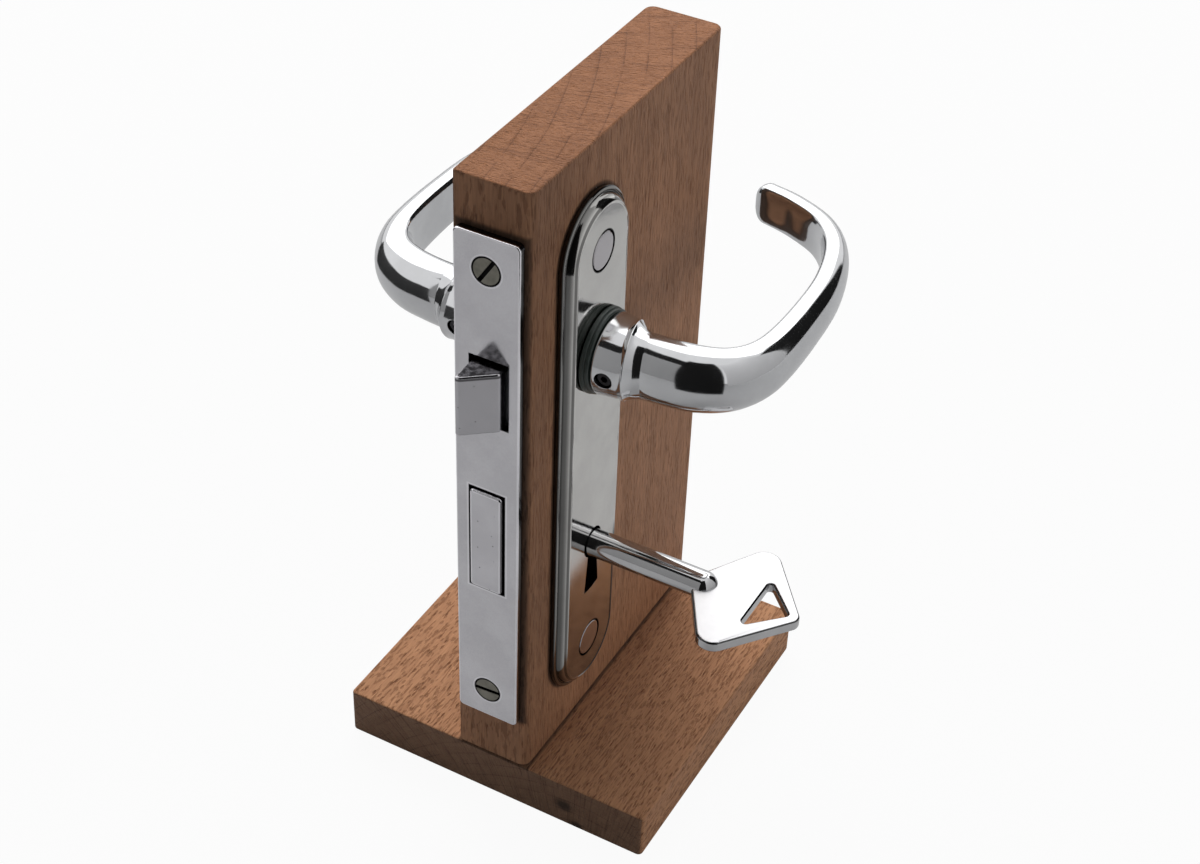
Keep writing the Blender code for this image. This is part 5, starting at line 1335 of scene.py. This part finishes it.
def handle_rings():
    rings = collar_rings()
    neck = [(RIDGE_OUT, 0.0, RIDGE_RADIUS, RIDGE_RADIUS), *NECK, GRIP[0]]
    rings += [handle_ring(out, back, TILTED, thick, height, 0.0)
              for out, back, thick, height in smooth_through(neck, NECK_STEPS)[1:-3]]
    path = smooth_through(GRIP, GRIP_STEPS)
    for i, (out, back, thick, height) in enumerate(path):
        before, after = path[max(i - 1, 0)], path[min(i + 1, len(path) - 1)]
        direction = Vector((after[0] - before[0], after[1] - before[1])).normalized()
        lead = min(1.0, i / GRIP_STEPS)
        direction = (TILTED * (1 - lead) + direction * lead).normalized()
        grip = min(1.0, i / (len(path) * 0.4))
        rings.append(handle_ring(out, back, direction, thick, height, grip))
    for step in range(1, TIP_STEPS + 1):
        angle = math.pi / 2 * step / (TIP_STEPS + 0.4)
        reach, scale = TIP_LENGTH * math.sin(angle), math.cos(angle)
        rings.append(handle_ring(out + direction.x * reach, back + direction.y * reach, direction,
                                 thick * scale, height * scale, 1.0))
    return rings


print("handle rings:", len(handle_rings()))

# %% [markdown]
# ## The two levers
# The left lever is the right one's mirror image, on the same square spindle, and sits turned up
# by the little play that a square socket has. A grub screw under each collar holds the lever to
# the spindle. It is set back in its hole and has a socket with six sides.

# %% Lever handles and their grub screws
SOCKET_HALF, SOCKET_START, SOCKET_END = 0.0043, 0.0110, 0.0281
GRUB_OUT, GRUB_RADIUS, GRUB_LEAN = 0.0234, 0.0023, math.radians(5.0)
GRUB_TOP, GRUB_SHOULDER, GRUB_POINT = COLLAR_RADIUS - 0.0012, 0.0055, 0.0046
LEFT_PLAY = math.radians(2.2)


def lever_handle(side, name, lift):
    """lift is how far the handle sits turned up, which is play on its square."""
    handle = object_from("lever_" + name, skin(handle_rings()))
    soften(handle, 0.00035, 3, 22.0)
    settle(handle)
    mirror(handle, side, spindle_place @ Matrix.Rotation(lift, 4, "X") @ spindle_place.inverted())
    ends = sorted((side * SOCKET_START, side * SOCKET_END))
    cut(handle, block_of((ends[0], AXIS_Y - SOCKET_HALF, SPINDLE_Z - SOCKET_HALF),
                         (ends[1], AXIS_Y + SOCKET_HALF, SPINDLE_Z + SOCKET_HALF)))
    aim = at(side * GRUB_OUT, AXIS_Y, SPINDLE_Z) @ Matrix.Rotation(GRUB_LEAN, 4, "X")
    aim = aim @ ALONG_MINUS_Y
    cut(handle, rod(GRUB_RADIUS + 0.0003, 0.0022, 0.0140, aim))
    soften(handle, 0.00015, 2, 60.0)
    settle(handle)
    finish_piece(handle, "handles", ["handle_" + name], handle_chrome, 30.0)
    profile = [(0.0, GRUB_TOP), (GRUB_RADIUS - 0.0003, GRUB_TOP), (GRUB_RADIUS, GRUB_TOP - 0.0003),
               (GRUB_RADIUS, GRUB_SHOULDER), (GRUB_RADIUS * 0.5, GRUB_POINT), (0.0, GRUB_POINT)]
    grub = object_from("grub_" + name, turned(profile, aim, 48))
    cut(grub, rod(0.0011, GRUB_TOP - 0.0018, GRUB_TOP + 0.002, aim, 6))
    finish_piece(grub, "handles", ["grub_screw_" + name], grub_steel, 35.0)


lever_handle(1, "right", 0.0)
lever_handle(-1, "left", LEFT_PLAY)

# %% [markdown]
# ## The key
# A round stem, a flat bow and a stepped bit, joined as the key's casting is. The bow's rim is fully
# rounded, which draws the bright line round its edge, and the stem ends in a dome that stands proud of
# the bow; the finish adds a painted dark line where the rim meets the flat faces. The bow is softened
# before it is joined, so that only its rim is round.

# %% Key
STEM_START = -0.0088
dome = arc((0.0, STEM_END - STEM_RADIUS), STEM_RADIUS, 90, 0, 14)
profile = [(0.0, STEM_END), *dome[1:], (STEM_RADIUS, STEM_START + 0.0010),
           (STEM_RADIUS - 0.0010, STEM_START), (0.0, STEM_START)]
key = object_from("bitted_key", turned(profile, key_place @ ALONG_X, 96))
bow_corners = [(0.0510, AXIS_Y + 0.0045), (0.0637, AXIS_Y + 0.0256), (0.0836, AXIS_Y),
               (0.0637, AXIS_Y - 0.0256), (0.0510, AXIS_Y - 0.0045)]
bow_outline = rounded_corners(bow_corners, (0.0010, 0.0050, 0.0030, 0.0050, 0.0010))
bow_place = at(z=KEY_Z - BOW_DROP)
bow = object_from("bow", slab(bow_outline, -BOW_HALF, BOW_HALF, bow_place))
ring_corners = [(0.0691, AXIS_Y + 0.0108), (0.0797, AXIS_Y), (0.0691, AXIS_Y - 0.0108)]
cut(bow, slab(rounded_corners(ring_corners, (0.0010,) * 3, 6), -0.004, 0.004, bow_place))
soften(bow, 0.0010, 5, 50.0)
settle(bow)
combine(key, bow, "UNION")
wide, narrow, step_y, tip_y = 0.0049, 0.0016, AXIS_Y + 0.0136, AXIS_Y + 0.0162
bit = [(-wide, AXIS_Y), (wide, AXIS_Y), (wide, step_y), (narrow, step_y), (narrow, tip_y),
       (-narrow, tip_y), (-narrow, step_y), (-wide, step_y)]
join(key, slab(bit, -0.0012, 0.0012, key_place @ at(y=-AXIS_Y)))
soften(key, 0.00012, 2, 50.0)
settle(key)
finish_piece(key, "key", ["key"], key_chrome, 35.0)

# %% [markdown]
# ## Latch spring
# A coil follows a path, so Geometry Nodes wind it: a helix for the path and a circle for the wire.

# %% Latch spring
def spring_tree():
    sockets = (("Turns", "Float"), ("Radius", "Float"), ("Length", "Float"), ("Wire", "Float"),
               ("Finish", "Material"))
    tree, given, result = geometry_tree("coil_spring", sockets, "Spring")
    helix = add_node(tree, "GeometryNodeCurveSpiral", None,
                     {"Resolution": 40, "Rotations": given["Turns"], "Height": given["Length"],
                      "Start Radius": given["Radius"], "End Radius": given["Radius"]})
    wire = add_node(tree, "GeometryNodeCurvePrimitiveCircle", None,
                    {"Resolution": 16, "Radius": given["Wire"]})
    swept = add_node(tree, "GeometryNodeCurveToMesh", None,
                     {"Curve": helix.outputs[0], "Profile Curve": wire.outputs[0],
                      "Fill Caps": True})
    real = add_node(tree, "GeometryNodeRealizeInstances", None, {"Geometry": swept.outputs[0]})
    done = add_node(tree, "GeometryNodeSetMaterial", None,
                    {"Geometry": real.outputs[0], "Material": given["Finish"]})
    tree.links.new(done.outputs[0], result)
    return tree


WIRE_RADIUS = 0.0004
spring_low, spring_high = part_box("latch_spring")
spring_length = spring_high.y - spring_low.y - 2 * WIRE_RADIUS
spring = bpy.data.objects.new("spring", bpy.data.meshes.new("spring"))
bpy.context.scene.collection.objects.link(spring)
run_tree(spring, spring_tree(), {"Turns": 8.0, "Radius": 0.0026, "Length": spring_length,
                                 "Wire": WIRE_RADIUS, "Finish": spring_steel})
spring.data.transform(at(y=spring_low.y + WIRE_RADIUS, z=middle("latch_spring").z) @ ALONG_Y)
finish_piece(spring, "mount_block", ["latch_spring"], spring_steel, 60.0, False)
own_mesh(spring)

# %% [markdown]
# ## Pieces that stay as measured
# The pieces inside the case are simple turned, bent or stamped metal, and the measured model has
# them at full detail. They only need their finish.

# %% Finishes for the measured pieces
KEPT = {
    case_steel: ("lock_case", "case_cover", "case_pillar_1", "case_pillar_2", "case_pillar_3"),
    spindle_steel: ("spindle", "follower_stop_pin", "bolt_guide_pin", "tumbler_pivot_pin"),
    cast_brass: ("follower", "tumbler_1", "tumbler_2"),
    spring_steel: ("tumbler_leaf_1", "tumbler_leaf_2"),
}
for material, names in KEPT.items():
    for name in names:
        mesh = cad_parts[name].data
        mesh.materials.clear()
        mesh.materials.append(material)
print("kept as measured:", sum(len(names) for names in KEPT.values()), "pieces")

# %% [markdown]
# ## Light
# Polished metal needs something to mirror. A wide window hangs at the back left, which only
# polished surfaces see, and makes the white tops. A smaller lamp in the same place is the
# daylight on the wood, and a low fill on the right softens its shadow. Lamps are split this way
# because one that is wide enough for the mirrors would light the wood too flatly.

# %% Lights
def soft_box(name, place, aim, size, power):
    data = bpy.data.lights.new(name, "AREA")
    data.shape = "RECTANGLE"
    data.size, data.size_y = size
    data.energy = power
    lamp = bpy.data.objects.new(name, data)
    bpy.context.scene.collection.objects.link(lamp)
    lamp.location = place
    lamp.rotation_euler = (Vector(aim) - Vector(place)).to_track_quat("-Z", "Y").to_euler()
    return lamp


WINDOW, MIDDLE = (-0.65, 0.93, 1.38), (0.0, 0.0, 0.12)
window = soft_box("window", WINDOW, MIDDLE, size=(2.8, 1.9), power=22.0)
window.visible_diffuse = False
daylight = soft_box("daylight", WINDOW, MIDDLE, size=(1.3, 0.9), power=29.5)
right_fill = soft_box("right_fill", (1.25, 0.42, 0.36), MIDDLE, size=(2.0, 0.7), power=4.7)
for lamp in (daylight, right_fill):
    lamp.visible_glossy = False
print("lamps:", window.name, daylight.name, right_fill.name)

# %% [markdown]
# ## Floor
# The floor is grey paper, and what the camera sees of it is white apart from the object's own
# shadow. The share is chosen by the kind of ray: almost all white for the camera, and only a
# little for what the metal mirrors, so the chrome shows its floor as a mid grey.

# %% Floor
WHITE = (1.0, 1.0, 1.0, 1.0)


def floor_paper(own_colour, camera_share, mirror_share):
    """A grey surface that the camera sees as white, but for the shadows that fall on it."""
    surface = Finish("floor_paper", Metallic=0.0, Roughness=0.8, Base_Color=(*own_colour, 1.0))
    rays = surface.node("ShaderNodeLightPath").outputs
    seen = Value(surface.tree, rays["Is Camera Ray"]) * camera_share
    mirrored = (Value(surface.tree, rays["Is Glossy Ray"])
                + Value(surface.tree, rays["Is Transmission Ray"])) * mirror_share
    white = surface.node("ShaderNodeEmission", Color=WHITE, Strength=1.0)
    mixed = add_node(surface.tree, "ShaderNodeMixShader", None,
                     {0: (seen + mirrored).clamp(), 1: surface.shader.outputs[0],
                      2: white.outputs[0]})
    output = surface.tree.nodes["Material Output"]
    surface.tree.links.new(mixed.outputs[0], output.inputs["Surface"])
    return surface.material


bm = bmesh.new()
bmesh.ops.create_grid(bm, x_segments=1, y_segments=1, size=6.0)
floor = object_from("floor", bm)
floor.data.transform(at(z=-0.0002))
floor.data.materials.append(floor_paper((0.50, 0.50, 0.50), camera_share=0.95, mirror_share=0.18))
print("floor: %.0f m wide" % floor.dimensions.x)

# %% [markdown]
# ## Cards that only the metal sees
# Six curved cards stand round the set, hidden from the camera and from the wood. They are the
# grey faces and the black streaks that give chrome its shape. Their bearings and heights were
# worked out from where each reflection falls: a mirror's normal halves the angle between the
# camera and what it shows. Each card goes evenly from one brightness at its foot to another.

# %% Mirror cards
CARD_STEPS = 24


def card_paper(name, low, high, bottom, top):
    """Plain paper that goes from the brightness low at its bottom to high at its top."""
    paper = Finish(name, Roughness=0.9, Base_Color=(0.0, 0.0, 0.0, 1.0), Specular_IOR_Level=0.0,
                   Emission_Strength=1.0)
    share = (paper.axis("Z") - bottom) * (1.0 / (top - bottom))
    paper.set(Emission_Color=paper.mix(share.clamp(), (low,) * 3, (high,) * 3))
    return paper.material


def mirror_card(name, sector, radius, heights, brightness):
    """A curved card on a circle round the object, between two bearings in degrees."""
    bm = bmesh.new()
    low, high = ([bm.verts.new((x, y, height)) for x, y in arc((0.0, 0.0), radius, *sector, CARD_STEPS)]
                 for height in heights)
    for i in range(CARD_STEPS):
        bm.faces.new((low[i], low[i + 1], high[i + 1], high[i]))
    made = object_from(name, bm)
    made.data.materials.append(card_paper(name, *brightness, *heights))
    made.visible_camera = False
    made.visible_diffuse = False
    made.visible_shadow = False


CARDS = (
    ("camera_side", (-89.0, -39.0), 0.33, (0.002, 0.96), (0.010, 0.014)),
    ("left_wall", (-124.0, -90.0), 0.80, (0.002, 0.89), (0.32, 0.36)),
    ("left_top", (-137.0, -92.0), 0.80, (0.90, 1.62), (0.02, 0.02)),
    ("left_gap", (-192.0, -125.0), 0.38, (0.002, 0.205), (0.03, 0.05)),
    ("right_wall", (-38.0, 39.0), 1.20, (0.002, 2.60), (0.50, 0.95)),
    ("right_gap", (40.0, 72.0), 1.50, (0.002, 1.80), (0.012, 0.018)),
)
for card in CARDS:
    mirror_card(*card)
print("cards round the object:", len(CARDS))

# %% [markdown]
# ## Sky
# The photograph has plain white behind it. The world is white where the camera or a mirror looks
# at it, and gives the wood only a faint even light, so the lamps keep their shadows.

# %% Sky
world = bpy.data.worlds.new("studio")
bpy.context.scene.world = world
world.use_nodes = True
sky = world.node_tree
plain = sky.nodes["Background"]
connect(sky, plain.inputs["Color"], (0.95, 0.97, 1.0, 1.0))
connect(sky, plain.inputs["Strength"], 0.20)
white = add_node(sky, "ShaderNodeBackground", None, {"Color": WHITE, "Strength": 1.0})
rays = add_node(sky, "ShaderNodeLightPath").outputs
camera_ray, glossy_ray, transmission_ray = (
    Value(sky, rays["Is %s Ray" % kind]) for kind in ("Camera", "Glossy", "Transmission"))
seen = (camera_ray + glossy_ray + transmission_ray).clamp()
mixed = add_node(sky, "ShaderNodeMixShader", None,
                 {0: seen, 1: plain.outputs[0], 2: white.outputs[0]})
sky.links.new(mixed.outputs[0], sky.nodes["World Output"].inputs["Surface"])
print("sky nodes:", len(sky.nodes))

# %% [markdown] ## Sizes The dressed part has to fill the same space as the measured model.
